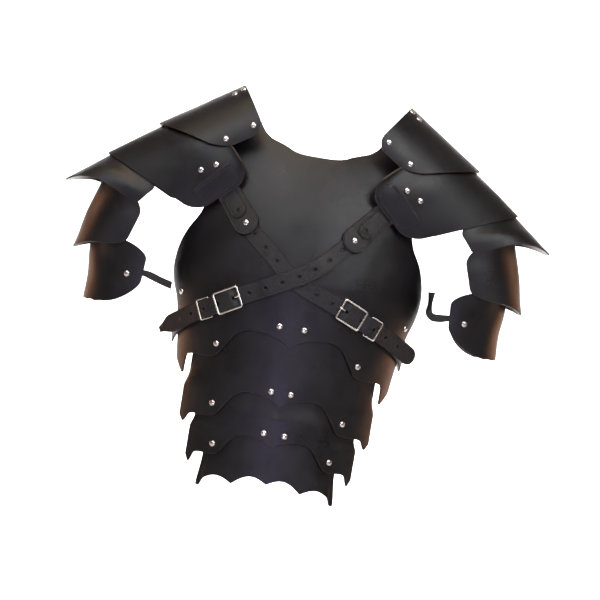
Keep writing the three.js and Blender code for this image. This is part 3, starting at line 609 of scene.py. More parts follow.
def leather(name, dark, light, cut, roughness, pebble, crease, grain_depth, reach=0.0016, line=0.0):
    """Dyed, waxed leather: two close tones, a cut-edge colour (brown edge wear on the plates, a darker
    painted shadow line on the straps), scuffs that dull it, and a grain. A line is a groove pressed in along
    the edges, at that distance from them."""
    material = bpy.data.materials.new(name)
    material.use_nodes = True
    tree = material.node_tree
    shader = tree.nodes["Principled BSDF"]
    grain = placed(tree, GRAIN, Pebble_Scale=pebble, Crease_Amount=crease)
    wear = placed(tree, EDGE_WEAR_AND_SHADE, Reach=reach)
    scuffs = placed(tree, SCUFFS, Amount=0.55)
    tone = mixed(tree, grain.outputs["Tone"], dark, light)
    tone = mixed(tree, scuffs.outputs["Mask"], tone, tuple(2.1 * c for c in light))
    # Near the border the tone goes to the cut colour: brown edge wear on the plates, a painted shadow line
    # along the straps' edges.
    tree.links.new(mixed(tree, wear.outputs["Mask"], tone, cut), shader.inputs["Base Color"])
    dull = maths(tree, "MULTIPLY", grain.outputs["Tone"], 0.1)
    dull = maths(tree, "ADD", maths(tree, "MULTIPLY", scuffs.outputs["Mask"], 0.2), dull)
    dull = maths(tree, "ADD", maths(tree, "MULTIPLY", wear.outputs["Mask"], 0.16), dull)
    dull = maths(tree, "SUBTRACT", dull, maths(tree, "MULTIPLY", grain.outputs["Crease"], 0.4))
    tree.links.new(maths(tree, "ADD", dull, roughness), shader.inputs["Roughness"])
    bump = tree.nodes.new("ShaderNodeBump")
    bump.inputs["Strength"].default_value = 0.5
    bump.inputs["Distance"].default_value = grain_depth
    height = grain.outputs["Height"]
    if line:
        gap = tree.nodes.new("ShaderNodeAttribute")
        gap.attribute_name = "edge_gap"
        away = maths(tree, "ABSOLUTE", maths(tree, "SUBTRACT", gap.outputs["Fac"], line))
        groove = ranged(tree, away, 0.0, 0.0007, 1.6, 0.0)
        height = maths(tree, "SUBTRACT", height, groove)
    tree.links.new(height, bump.inputs["Height"])
    tree.links.new(bump.outputs["Normal"], shader.inputs["Normal"])
    shader.inputs["Specular IOR Level"].default_value = 0.4
    return material


def nickel_plate(name, colour, roughness):
    """Polished plate over steel: rubbed spots are rougher and slightly warmer, with faint dents."""
    material = bpy.data.materials.new(name)
    material.use_nodes = True
    tree = material.node_tree
    shader = tree.nodes["Principled BSDF"]
    shader.inputs["Metallic"].default_value = 1.0
    place = tree.nodes.new("ShaderNodeTexCoord").outputs["Object"]
    scuffs = placed(tree, SCUFFS, Amount=0.8)
    rubbed = ranged(tree, noise(tree, place, 260.0, 4.0), 0.42, 0.66)
    warm = mixed(tree, rubbed, colour, (colour[0] * 0.8, colour[1] * 0.76, colour[2] * 0.68))
    tree.links.new(warm, shader.inputs["Base Color"])
    dull = maths(tree, "MULTIPLY", maths(tree, "ADD", scuffs.outputs["Mask"], rubbed), 0.14)
    tree.links.new(maths(tree, "ADD", dull, roughness), shader.inputs["Roughness"])
    bump = tree.nodes.new("ShaderNodeBump")
    bump.inputs["Strength"].default_value = 0.25
    bump.inputs["Distance"].default_value = 0.00012
    tree.links.new(noise(tree, place, 420.0, 3.0), bump.inputs["Height"])
    tree.links.new(bump.outputs["Normal"], shader.inputs["Normal"])
    return material


PLATE = leather(
    "plate_leather", dark=(0.0048, 0.0046, 0.0054), light=(0.0085, 0.0082, 0.0095),
    cut=(0.024, 0.014, 0.009), roughness=0.29, pebble=620.0, crease=0.08, grain_depth=0.0004)
# The strap's cut colour is darker than the strap itself: a painted shadow line along its edges.
STRAP = leather(
    "strap_leather", dark=(0.0075, 0.0071, 0.0076), light=(0.0145, 0.0138, 0.0145),
    cut=(0.006, 0.004, 0.004), roughness=0.40, pebble=430.0, crease=0.5, grain_depth=0.0008, line=0.0019)
NICKEL = nickel_plate("nickel", colour=(0.86, 0.85, 0.83), roughness=0.16)


# Torso plates

def spike_share(share):
    """A smoothstep up to just inside the side, and a straight cut back up to the side."""
    up = smooth((share - SPIKE_START) / (SPIKE_PEAK - SPIKE_START))
    return up * (1 - SPIKE_CUT * np.clip((share - SPIKE_PEAK) / (1 - SPIKE_PEAK), 0, 1))


def ogee(edge, across):
    """Half an ogee: an arch beside the centre point, a step down, and a spike at the end."""
    share = np.clip(abs(across), 0, 1)
    spike = spike_share(share) * edge["spike"]
    return TORSO_DROP * (edge["arch"] + edge["fall"] * along(OGEE, "fall", "across", share) + spike)


def scallops(edge, across):
    """Four arches of half a sine each, between cusps on a line that falls to the sides."""
    share = np.clip(abs(across), 0, 1)
    spike = spike_share(share) * edge["spike"]
    rise = SCALLOP_RISE * abs(np.sin(2 * np.pi * share))
    return TORSO_DROP * (edge["arch"] + edge["fall"] * share + spike) - rise


def hidden_top(upper, across):
    """The hidden upper edge of the lame under an edge, a lap above it."""
    step = smooth((abs(across) - 0.4) / 0.3)
    return TORSO_DROP * (upper["arch"] + upper["fall"] * 0.8 * step) - LAP


def flank_reach(drop):
    """The breastplate's half-width at a drop."""
    return PLATE_HALF * along(FLANK, "half", "drop", drop / TORSO_DROP)


def both_ways(shares):
    """Shares from nought up, with their opposites before them."""
    return np.concatenate([-shares[:0:-1], shares])


def work(points, normals, amount):
    """Raises points along their normals by the slow waves of worked leather."""
    return points + normals * (amount * undulation(points))[..., None]


def breastplate():
    """Rows run from the shoulder to the neck's level and on to the ogee edge; columns spread from
    the neckline to the armhole, and lower down evenly over the plate."""
    high, low = 14, 120
    neck_columns, side_columns = 18, 59
    half = np.concatenate([np.linspace(0, NECK_SHARE, neck_columns + 1),
                           np.linspace(NECK_SHARE, 1, side_columns + 1)[1:]])
    across = both_ways(half)
    share = abs(across)[None, :]
    edge = EDGES["breastplate"]
    inner = np.clip(share / NECK_SHARE, 0, 1)
    beyond = np.clip((share - NECK_SHARE) / (1 - NECK_SHARE), 0, 1)
    level = NECK_DROP - NECK_CORNER * inner ** 4
    up = np.linspace(0, 1, high + 1)[:, None]
    down = np.linspace(0, 1, low + 1)[1:, None]
    drop = np.concatenate([lerp(EAR_DROP, level, up), lerp(level, ogee(edge, share), down)])
    neck = NECK_HALF * along(NECKLINE, "reach", "drop", drop / NECK_DROP)
    side = flank_reach(drop)
    lower = smooth((drop - NECK_DROP * 1.6) / (NECK_DROP * 1.5))
    spread_out = np.where(inner < 1, neck * inner, lerp(neck, side, beyond))
    x = lerp(spread_out, side * share, lower)
    points, normals, _ = on_torso(np.sign(across) * angle_at(x, drop), drop)
    cells = np.arange(len(across) - 1) + 0.5 - (len(across) - 1) / 2
    kept = np.ones((high + low, len(across) - 1), bool)
    kept[:high, abs(cells) < neck_columns] = False
    grid = work(points, normals, PLATE_WAVE)
    wall_piece("breastplate_leather", grid, WALL, PLATE, "plate_leather", ["breastplate"], kept)


def belly_lame(name, upper, edge, shape):
    """A lame that starts one wall under the edge above and comes out to the surface lower down."""
    upper, edge = EDGES[upper], EDGES[edge]
    half_width = edge["half"] * PLATE_HALF
    across = both_ways(np.linspace(0, 1, 97))[None, :]
    down = np.linspace(0, 1, 49)[:, None]
    x = across * half_width
    above = x / (upper["half"] * PLATE_HALF)
    start = ogee(upper, above) + 0.004
    end = shape(edge, across) if shape is scallops else hidden_top(edge, across) - 0.006
    drop = lerp(hidden_top(upper, above), shape(edge, across), down)
    out = smooth((drop - start) / np.maximum(end - start, 0.001))
    under = WALL + GAP + SIDE_TUCK * abs(across) ** 3
    points, normals, _ = on_torso(angle_at(x, drop), drop, -under * (1 - out))
    grid = work(points, normals, LAME_WAVE)
    wall_piece(name + "_leather", grid, WALL, PLATE, "plate_leather", [name])


breastplate()
belly_lame("belly_lame_upper", "breastplate", "upper", ogee)
belly_lame("belly_lame_middle", "upper", "middle", ogee)
belly_lame("belly_lame_lower", "middle", "lower", scallops)


# Shoulder lames

def lame_point(lame, side, around, across):
    """Seen from the front a straight way from ridge to free end, from the side half an ellipse."""
    f = 1 - np.cos(around * np.pi / 2)
    lift = lerp(lame["crest"], lame["bow"], across) * 4 * f * (1 - f) * SHOULDER_FALL
    ridge_x = SHOULDER_REACH * lerp(lame["rx0"], lame["rx1"], across)
    ridge_z = SHOULDER_FALL * lerp(lame["rz0"], lame["rz1"], across)
    spread_x = side * LEFT_SPREAD * lame["hang"]
    end_x = SHOULDER_REACH * lerp(lame["ex0"], lame["ex1"], across) - spread_x
    end_z = SHOULDER_FALL * lerp(lame["ez0"], lame["ez1"], across)
    depth = SHOULDER_DEPTH * lerp(lame["depth0"], lame["depth1"], across) - side * LEFT_DEPTH * lame["hang"]
    return np.stack([
        side * lerp(ridge_x, end_x, f),
        -depth * np.sin(around * np.pi / 2),
        -side * LEFT_RISE - lerp(ridge_z, end_z, f) + lift], -1)


def round_end(lame, across):
    """How far round the lame goes: quarter circles round off the free end's corners."""
    corner = lame["corner"]
    beyond = np.maximum(np.maximum(1 - across / corner, 1 - (1 - across) / corner), 0)
    return 1 - lame["lobe"] * (1 - np.sqrt(1 - np.minimum(beyond, 1) ** 2))


def seat_push(points, cover, under, pull, least=-np.inf):
    """The move that puts points one wall and a clearance below the lame above: its height over the
    nearest place of that lame, taken along its normal, and faded out beside the lame."""
    at, normals = cover
    flat = points.reshape(-1, 3)
    push = np.empty_like(flat)
    for start in range(0, len(flat), SEAT_PART_SIZE):
        part = flat[start:start + SEAT_PART_SIZE]
        away = ((part[:, None, :] - at[None, :, :]) ** 2).sum(-1)
        best = away.argmin(1)
        normal = normals[best]
        height = ((part - at[best]) * normal).sum(-1)
        beside = np.sqrt(np.maximum(away.min(1) - height ** 2, 0))
        fade = 1 - smooth((beside - FADE_FROM) / FADE)
        move = np.clip(-(WALL + under) - height, least, pull) * fade
        push[start:start + SEAT_PART_SIZE] = normal * move[:, None]
    return push.reshape(points.shape)


def blurred(field):
    """A grid of vectors evened out with its neighbours."""
    wide = np.pad(field, ((1, 1), (1, 1), (0, 0)), mode="edge")
    rows = (wide[:-2] + 2 * wide[1:-1] + wide[2:]) / 4
    return (rows[:, :-2] + 2 * rows[:, 1:-1] + rows[:, 2:]) / 4


class Lame:
    """A seated shoulder lame: its own form and the push that seats it, known on a coarse grid."""

    def __init__(self, row, side, cover):
        self.row, self.side = row, side
        self.places = np.linspace(-1, 1, LAME_ROUND + 1)
        self.levels = np.linspace(0, 1, LAME_WIDE + 1)
        around, across = np.meshgrid(self.places, self.levels)
        own = self.own(around, across)
        self.push = np.zeros_like(own)
        if cover is not None:
            self.push = seat_push(own, cover.spread(), row["seat"], SEAT_PULL)
            for _ in range(SEAT_BLURS):
                self.push = blurred(self.push)

    def own(self, around, across):
        """The form's own point, with the back half ending a little short of the front's."""
        share = round_end(self.row, across) * np.where(around < 0, BACK_SHARE, 1)
        return lame_point(self.row, self.side, around * share, across)

    def point(self, around, across):
        """The form's own point and the push, taken between the four nearest grid values."""
        around, across = np.broadcast_arrays(np.asarray(around, float), np.asarray(across, float))
        u = np.clip((around + 1) / 2 * LAME_ROUND, 0, LAME_ROUND - 0.001)
        v = np.clip(across * LAME_WIDE, 0, LAME_WIDE - 0.001)
        j, i = u.astype(int), v.astype(int)
        s, t = (u - j)[..., None], (v - i)[..., None]
        push = lerp(lerp(self.push[i, j], self.push[i, j + 1], s),
                    lerp(self.push[i + 1, j], self.push[i + 1, j + 1], s), t)
        return self.own(around, across) + push

    def normal(self, around, across, step=0.01):
        """The cross product of the way down and the way round, pointing out."""
        down = self.point(around, across + step) - self.point(around, across - step)
        way = self.side * step
        return unit(np.cross(down, self.point(around - way, across) - self.point(around + way, across)))

    def spread(self):
        """Points and normals over the whole lame, for the next one to lie under."""
        around, across = np.meshgrid(self.side * -self.places, self.levels)
        grid = self.point(around, across)
        return grid.reshape(-1, 3), grid_normals(grid).reshape(-1, 3)


LAMES = {}
for label, side in SIDES.items():
    above = None
    for name, values in SHOULDER.items():
        above = Lame(dict(zip(SHOULDER_COLUMNS, values)), side, above)
        LAMES[name, label] = above
        ends = np.sin(np.linspace(-1, 1, 129) * np.pi / 2) * 0.25 + np.linspace(-1, 1, 129) * 0.75
        around, across = np.meshgrid(-side * ends, 0.5 - 0.5 * np.cos(np.linspace(0, np.pi, 41)))
        grid = above.point(around, across)
        grid = work(grid, grid_normals(grid), LAME_WAVE)
        node = name + "_" + label
        wall_piece(node + "_leather", grid, WALL, PLATE, "plate_leather", [node])


# Straps

ON_PLATE = WALL / 2 + GAP + STRAP_WALL / 2
LAYER = STRAP_WALL + GAP
ON_STRAP = ON_PLATE + LAYER
OVER_BAR = 0.0011

# The tail's middle over the torso's surface, by degrees past the buckle's middle: up over the
# centre bar, and then over the keeper's inner bar
TAIL = {
    "past": [-9, -4.2, -1.6, 2.4, 6.8, KEEPER_OFFSET - 3, KEEPER_OFFSET + 4],
    "lift": [ON_PLATE, ON_PLATE + 0.0003, ON_STRAP + 0.0014, ON_STRAP + 0.0012, ON_STRAP + OVER_BAR,
             ON_STRAP + KEEPER_WIRE + GAP, ON_STRAP + KEEPER_WIRE],
}
TAIL_FROM = TAIL["past"][0]
TAIL_TO = TAIL["past"][-1]


def folded(angle):
    """An angle past the side, as the angle at the same place on the front half."""
    return np.where(angle < -90, -180 - angle, angle)


def strap_drop(strap, angle):
    """A strap's drop at an angle, the same on the back as on the front."""
    return TORSO_DROP * along(strap["path"], "drop", "angle", folded(angle))


def strap_lift(strap, angle):
    """A strap's middle over the torso's surface: up over the strap it crosses and off the flank."""
    turn = folded(angle)
    cross = 1 - smooth((abs(turn - strap["crossing"]) - CROSS_HALF) / CROSS_FADE)
    flank = smooth((abs(turn) - FLANK_FROM) / FLANK_FADE)
    return ON_PLATE + flank * EDGE_RISE + (LAYER * cross if strap["lifted"] else 0)


def tail_lift(strap, angle):
    """The tail table's lift at an angle."""
    past = np.clip(strap["buckle"] - angle, TAIL_FROM, TAIL_TO)
    return along(TAIL, "lift", "past", past)


def front_lift(strap, angle):
    """The higher of the strap's own lift and, near the buckle and past it, the tail's."""
    rising = np.where(angle < strap["buckle"] - TAIL_FROM, tail_lift(strap, angle), 0)
    return np.maximum(strap_lift(strap, angle), rising)


def strap_frame(strap, angle, lift):
    """A strap's place, way ahead, way across and up at an angle, for a lift that is a function."""
    def at(a):
        return on_torso(np.radians(strap["side"] * a), strap_drop(strap, a), lift(strap, a))

    point, normal, turn = at(angle)
    ahead = unit(at(angle - STRAP_TURN_STEP)[0] - at(angle + STRAP_TURN_STEP)[0])
    wide = unit(np.cross(ahead, normal))
    return point, ahead, wide, unit(np.cross(wide, ahead)), turn


def hugging(strap, angle, lift, offset):
    """Sideways from the strap's middle along the torso, so that its edges lie on it too."""
    _, _, wide, _, turn = strap_frame(strap, angle, lift)
    base = np.radians(strap["side"] * angle)
    drop = strap_drop(strap, angle)
    around = unit(on_torso(base + ANGLE_STEP, drop)[0] - on_torso(base, drop)[0])
    sideways = (wide * around).sum(-1) * offset
    down = -wide[..., 2] * offset
    return on_torso(base + sideways / turn, drop + down, lift(strap, angle))[0]


def strap_angles(strap, start, end, lift, step):
    """Angles at even steps along the strap, from the lengths of a fine line."""
    fine = np.linspace(start, end, 900)
    line = strap_frame(strap, fine, lift)[0]
    length = np.concatenate([[0], np.cumsum(np.linalg.norm(np.diff(line, axis=0), axis=1))])
    count = int(round(length[-1] / step))
    return np.interp(np.arange(count + 1) * step, length, fine)


def midway(values):
    """The middle between each two neighbours."""
    return (values[:-1] + values[1:]) / 2


def punched(grid, along_m, across_m, centres, radius):
    """Round holes in a fine grid: cells well inside a circle go, and the points about it move out
    or in onto the circle."""
    kept = np.ones((grid.shape[0] - 1, grid.shape[1] - 1), bool)
    points = grid.copy()
    s, t = np.meshgrid(along_m, across_m, indexing="ij")
    step_s = np.gradient(grid, axis=0) / np.gradient(along_m)[:, None, None]
    step_t = np.gradient(grid, axis=1) / np.gradient(across_m)[None, :, None]
    for centre in centres:
        ds, dt = s - centre, t
        away = np.hypot(ds, dt)
        near = (away < radius * 1.25) & (away > 1e-9)
        scale = np.where(near, radius / np.maximum(away, 1e-9) - 1, 0)[..., None]
        points += (step_s * ds[..., None] + step_t * dt[..., None]) * scale
        inside = np.hypot(midway(along_m)[:, None] - centre, midway(across_m)[None, :]) < radius * 0.82
        kept &= ~inside
    return points, kept


def tip_narrowing(kind, past):
    """A tip's share of the strap's width, by how far it is from its end as a share of the width:
    a half circle, or a cut point."""
    if kind == "round":
        return np.sqrt(1 - np.clip(1 - 2 * past, 0, 1) ** 2)
    return lerp(POINT_NOSE, 1, smooth(past / POINT_REACH))


def chest_strap(label, strap):
    """The strap from its tab over the chest, through buckle and keeper, to its straight tail."""
    start = strap["path"]["angle"][1] + STRAP_START
    angles = strap_angles(strap, start, strap["buckle"] - TAIL_TO, front_lift, STRAP_STEP)
    columns = 25
    middle = columns // 2
    across = np.linspace(0.5, -0.5, columns) * STRAP_WIDTH
    grid = hugging(strap, angles[:, None], front_lift, across[None, :])
    ahead = unit(grid[-1, middle] - grid[-8, middle])
    reach = np.arange(1, int(TAIL_LENGTH / STRAP_STEP) + 1) * STRAP_STEP
    droop = np.array([0.0, 0.0, -1.0]) * (TAIL_DROOP * (reach / TAIL_LENGTH) ** 2)[:, None]
    tail = grid[-1][None] + ahead * reach[:, None, None] + droop[:, None, :]
    past = (TAIL_LENGTH - reach) / STRAP_WIDTH
    share = tip_narrowing("point" if label == "over" else "round", past)[:, None, None]
    tail = lerp(tail[:, middle:middle + 1], tail, share)
    grid = np.concatenate([grid, tail])
    along_m = np.arange(len(grid)) * STRAP_STEP
    buckle_hole = np.interp(strap["buckle"] + TONGUE_PAST, angles[::-1], along_m[:len(angles)][::-1])
    first = int(round((buckle_hole % HOLE_PITCH) / STRAP_STEP)) * STRAP_STEP
    centres = np.arange(first + HOLE_PITCH, along_m[-1] - TAIL_BARE, HOLE_PITCH)
    centres = np.round(centres / STRAP_STEP) * STRAP_STEP
    grid, kept = punched(grid, along_m, across, centres, HOLE_RADIUS)
    wall_piece("chest_strap_leather_" + label, grid, STRAP_WALL, STRAP, "strap_leather",
               ["chest_strap_" + label], kept)


def back_strap(label, strap):
    """The strap from the buckle's centre bar round the flank and across the back."""
    start = strap["buckle"] - BACK_START
    angles = strap_angles(strap, start, -180 - strap["path"]["angle"][0], strap_lift, BACK_STEP)
    across = np.linspace(0.5, -0.5, 11) * STRAP_WIDTH
    grid = hugging(strap, angles[:, None], strap_lift, across[None, :])
    wall_piece("back_strap_leather_" + label, grid, STRAP_WALL, STRAP, "strap_leather",
               ["back_strap_" + label])


def set_on(points, origin, ahead, up, tip):
    """Puts points into a strap's frame, x ahead, y across and z up, tipped about y."""
    side = np.cross(up, ahead)
    x = points[..., 0:1] * math.cos(tip) + points[..., 2:3] * math.sin(tip)
    z = points[..., 2:3] * math.cos(tip) - points[..., 0:1] * math.sin(tip)
    return origin + x * ahead + points[..., 1:2] * side + z * up


def rounded_loop(length, width, corner, count):
    """A rectangle with quarter-circle corners, at even steps, with its outward way at each."""
    turn = np.linspace(0, 2 * np.pi, count, endpoint=False) + np.pi / count
    c, s = np.cos(turn), np.sin(turn)
    centre = np.stack([np.sign(c) * (length / 2 - corner), np.sign(s) * (width / 2 - corner)], -1)
    return centre + corner * np.stack([c, s], -1), np.stack([c, s], -1)


def wire_loop(length, width, wire, corner, count=64, section=14):
    """A bent wire: a circle of the wire's radius carried round the rounded rectangle."""
    path, out = rounded_loop(length, width, corner, count)
    turn = np.linspace(0, 2 * np.pi, section, endpoint=False)
    r = wire / 2
    flat = path[:, None, :] + out[:, None, :] * (r * np.cos(turn))[None, :, None]
    high = np.broadcast_to(r * np.sin(turn)[None, :, None], flat.shape[:2] + (1,))
    points = np.concatenate([flat, high], -1)
    i, j = np.meshgrid(np.arange(count), np.arange(section), indexing="ij")
    a, b = (i + 1) % count, (j + 1) % section
    faces = np.stack([i * section + j, a * section + j, a * section + b, i * section + b], -1)
    return points.reshape(-1, 3), faces.reshape(-1, 4)


def rod(path, radius, section=16):
    """A round bar along a path of points, its radius given at each, closed by rings that shrink."""
    path = np.asarray(path, float)
    radius = np.concatenate([[radius[0] * 0.02], radius, [radius[-1] * 0.02]])
    path = np.concatenate([path[:1], path, path[-1:]])
    ahead = unit(np.gradient(path[1:-1], axis=0))
    ahead = np.concatenate([ahead[:1], ahead, ahead[-1:]])
    up = unit(np.cross(ahead, np.array([0.0, 1.0, 0.0]) + ahead[:, ::-1] * 1e-3))
    side = np.cross(up, ahead)
    turn = np.linspace(0, 2 * np.pi, section, endpoint=False)
    ring = side[:, None, :] * np.cos(turn)[None, :, None] + up[:, None, :] * np.sin(turn)[None, :, None]
    points = path[:, None, :] + ring * radius[:, None, None]
    faces = grid_faces(len(path), section, closed=True).reshape(-1, 4)
    return points.reshape(-1, 3), faces


def joined(parts):
    """Several point and face lists as one."""
    points, faces, count = [], [], 0
    for some_points, some_faces in parts:
        points.append(some_points)
        faces.append(some_faces + count)
        count += len(some_points)
    return np.concatenate(points), np.concatenate(faces)


def faced_out(piece):
    """Turns every face of a closed mesh outwards."""
    form = bmesh.new()
    form.from_mesh(piece.data)
    bmesh.ops.recalc_face_normals(form, faces=form.faces)
    form.to_mesh(piece.data)
    form.free()
    return piece


ROLLER_HEIGHT = ON_PLATE + STRAP_WALL / 2 + GAP + ROLLER / 2
FAR_HEIGHT = ON_STRAP + OVER_BAR + STRAP_WALL / 2 + GAP + WIRE / 2


def buckle(label, strap):
    """A bent ring, a thick roller on its chest side, a tongue that comes up through the strap and
    lies over the roller, and a sunk bar across the middle."""
    lift = (FAR_HEIGHT + ROLLER_HEIGHT) / 2 - BUCKLE_SAG
    tip = -math.atan2(FAR_HEIGHT - ROLLER_HEIGHT, BUCKLE_LENGTH)
    origin, ahead, _, up, _ = strap_frame(strap, strap["buckle"], lambda s, a: lift)
    near = -BUCKLE_LENGTH / 2
    width = STRAP_WIDTH + BUCKLE_SLACK + WIRE
    ring = wire_loop(BUCKLE_LENGTH, width, WIRE, BUCKLE_CORNER)
    ends = np.linspace(-0.5, 0.5, len(ROLLER_SHARES)) * (STRAP_WIDTH - ROLLER_SLACK)
    roller_path = np.stack([np.full_like(ends, near), ends, np.zeros_like(ends)], -1)
    roller = rod(roller_path, ROLLER / 2 * np.array(ROLLER_SHARES))
    tongue_x = near + np.array(TONGUE["way"])
    tongue_path = np.stack([tongue_x, np.zeros_like(tongue_x), TONGUE["height"]], -1)
    tongue = rod(tongue_path, TONGUE_RADIUS * np.array(TONGUE["radius"]))
    bar_y = width / 2 * np.array(SUNK_BAR["side"])
    bar_z = (CENTRE_RISE - lift) * np.array(SUNK_BAR["sunk"])
    bar = rod(np.stack([np.zeros_like(bar_y), bar_y, bar_z], -1), np.full_like(bar_y, CENTRE_BAR / 2))
    parts = [ring, roller, tongue, bar]
    points, faces = joined([(set_on(p, origin, ahead, up, tip), f) for p, f in parts])
    piece = faced_out(mesh_object("buckle_nickel_" + label, points, faces))
    dress(piece, NICKEL, "nickel", "buckle_" + label)


def keeper(label, strap):
    """A thin wire loop tipped so that its outer bar lies over the tail."""
    inner = ON_PLATE + STRAP_WALL / 2 + GAP + KEEPER_WIRE / 2
    outer = ON_STRAP + KEEPER_WIRE + STRAP_WALL / 2 + GAP + KEEPER_WIRE / 2
    lift = (inner + outer) / 2 + KEEPER_LIFT
    tip = -math.atan2(outer - inner + KEEPER_TILT, KEEPER_LENGTH)
    origin, ahead, _, up, _ = strap_frame(strap, strap["buckle"] - KEEPER_OFFSET, lambda s, a: lift)
    points, faces = wire_loop(KEEPER_LENGTH, STRAP_WIDTH + KEEPER_SLACK, KEEPER_WIRE, KEEPER_CORNER, 56, 12)
    points = set_on(points, origin, ahead, up, tip)
    piece = faced_out(mesh_object("keeper_nickel_" + label, points, faces))
    dress(piece, NICKEL, "nickel", "keeper_" + label)


TAB_ROWS = np.linspace(0, 1, 61) ** 1.35


def tab_grid(strap, cover, lower, upper, width, raise_by):
    """A tongue-shaped flap that leans out from its rivet to the chest lame's end: a half circle at
    its lower end, over the strap there, and under the lame at its upper end."""
    angle, rivet_drop = strap["path"]["angle"][1], strap["path"]["drop"][1]
    t = TAB_ROWS[::-1][:, None]
    way = lower + t * (upper - lower)
    end = np.clip((width / 2 - t * (upper - lower)) / (width / 2), 0, 1)
    half = width / 2 * np.sqrt(np.maximum(1 - end * end, TAB_TIP_SHARE ** 2))
    k = np.linspace(-1, 1, 21)[None, :]
    lift = ON_PLATE + LAYER * (1 - smooth((way - TAB_FLAT) / TAB_FALL)) + raise_by
    flat = way * math.cos(TAB_LEAN) + k * half * math.sin(TAB_LEAN)
    rise = way * math.sin(TAB_LEAN) - k * half * math.cos(TAB_LEAN)
    drop = TORSO_DROP * rivet_drop - rise
    _, _, turn = on_torso(math.radians(angle), drop)
    own = on_torso(strap["side"] * (math.radians(angle) + flat / turn), drop, lift)[0]
    own = own + seat_push(own, cover, strap["tab_seat"], TAB_PULL, 0)
    turned = slice(None, None, strap["side"])
    return own[:, turned], way[:, 0], k[0, turned] * width / 2


for label, strap in STRAPS.items():
    chest_strap(label, strap)
    back_strap(label, strap)
    buckle(label, strap)
    keeper(label, strap)
    side_label = "left" if strap["side"] < 0 else "right"
    cover = LAMES["chest_lame", side_label].spread()
    tab, _, _ = tab_grid(strap, cover, -TAB_END, TAB_LENGTH - TAB_END, TAB_WIDTH, 0)
    wall_piece("hanger_tab_leather_" + side_label, tab, STRAP_WALL, STRAP, "strap_leather",
               ["hanger_tab_" + side_label])
    raised = (STRAP_WALL + END_WALL) / 2 + END_LIFT
    end, way, across = tab_grid(strap, cover, END_START, TAB_LENGTH - TAB_END, END_WIDTH, raised)
    end, kept = punched(end, way, across, [END_START + END_HOLE], HOLE_RADIUS)
    wall_piece("strap_end_leather_" + side_label, end, END_WALL, STRAP, "strap_leather", [], kept)


# Rivets

def dome(name, point, normal):
    """A domed head turned about its normal: a thin skirt, then a quarter ellipse to the crown."""
    turn = np.linspace(0, np.pi / 2, 9)[1:-1]
    out = np.concatenate([DOME_SKIRT["out"], np.cos(turn) ** 0.8 * 0.97, [0.02]]) * RIVET_HEAD / 2
    high = lerp(DOME_SKIRT["rise"][-1], 1, np.sin(turn))
    rise = np.concatenate([DOME_SKIRT["rise"], high, [1.0]]) * RIVET_RISE
    section = 28
    around = np.linspace(0, 2 * np.pi, section, endpoint=False)
    other = unit(np.cross(normal, [0.31, 0.2, 0.93]))
    third = np.cross(normal, other)
    ring = other * np.cos(around)[:, None] + third * np.sin(around)[:, None]
    points = point + ring[None] * out[:, None, None] + normal * rise[:, None, None]
    faces = grid_faces(len(out), section, closed=True).reshape(-1, 4)
    piece = faced_out(mesh_object("rivet_nickel_" + name, points.reshape(-1, 3), faces))
    dress(piece, NICKEL, "nickel", "rivet_" + name)


for label, side in SIDES.items():
    for name, (plate, across, drop_share) in BODY_RIVETS.items():
        drop = drop_share * TORSO_DROP
        x = side * across * EDGES[plate]["half"] * PLATE_HALF
        point, normal, _ = on_torso(angle_at(x, drop), drop, WALL / 2 + RIVET_LIFT)
        dome(name + "_" + label, point, normal)
    for name, (lame, around, across) in SHOULDER_RIVETS.items():
        normal = LAMES[lame, label].normal(around, across)
        point = LAMES[lame, label].point(around, across) + normal * (WALL / 2 + RIVET_LIFT)
        dome(name + "_" + label, point, normal)
for strap in STRAPS.values():
    angle, drop_share = strap["path"]["angle"][1], strap["path"]["drop"][1]
    top = ON_STRAP + STRAP_WALL / 2 + RIVET_LIFT
    point, normal, _ = on_torso(strap["side"] * math.radians(angle), TORSO_DROP * drop_share, top)
    dome("tab_" + ("left" if strap["side"] < 0 else "right"), point, normal)


# Patches, ties and waist strap

def rounded_square(u, v):
    """Squeezes a unit square's columns near its ends, so that its corners come out round."""
    edge = np.clip((abs(v - 0.5) - (0.5 - PATCH_CORNER)) / PATCH_CORNER, 0, 1)
    return 0.5 + (u - 0.5) * (1 - PATCH_CORNER * (1 - np.sqrt(1 - edge ** 2)))


def end_patch(label, side):
    """A raised rounded patch that follows the chest lame's front free end, with a bell curve's
    ridge along its inner edge."""
    lame = LAMES["chest_lame", label]
    u, v = np.meshgrid(np.linspace(0, 1, 33), 0.5 - 0.5 * np.cos(np.linspace(0, np.pi, 41)))
    u = u if side > 0 else 1 - u
    place = rounded_square(u, v)
    around = lerp(PATCH["around"][1], PATCH["around"][0], place)
    across = lerp(*PATCH["across"], v)
    ridge = np.exp(-((u - RIDGE_PLACE) / RIDGE_WIDTH) ** 2)
    lift = WALL / 2 + PATCH_WALL / 2 + PATCH_LIFT + RIDGE_RISE * ridge
    grid = lame.point(around, across) + lame.normal(around, across) * lift[..., None]
    wall_piece("end_patch_leather_" + label, grid, PATCH_WALL, PLATE, "plate_leather",
               ["end_patch_" + label])


def through_rows(rows, count):
    """A smooth way through rows of points: Catmull-Rom between each two rows."""
    rows = np.asarray(rows)
    t = np.linspace(0, len(rows) - 1, count)
    i = np.minimum(t.astype(int), len(rows) - 2)
    s = (t - i)[:, None, None]
    p = [rows[np.clip(i + k, 0, len(rows) - 1)] for k in (-1, 0, 1, 2)]
    return 0.5 * (2 * p[1] + (p[2] - p[0]) * s + (2 * p[0] - 5 * p[1] + 4 * p[2] - p[3]) * s ** 2
                  + (3 * p[1] - p[0] - 3 * p[2] + p[3]) * s ** 3)


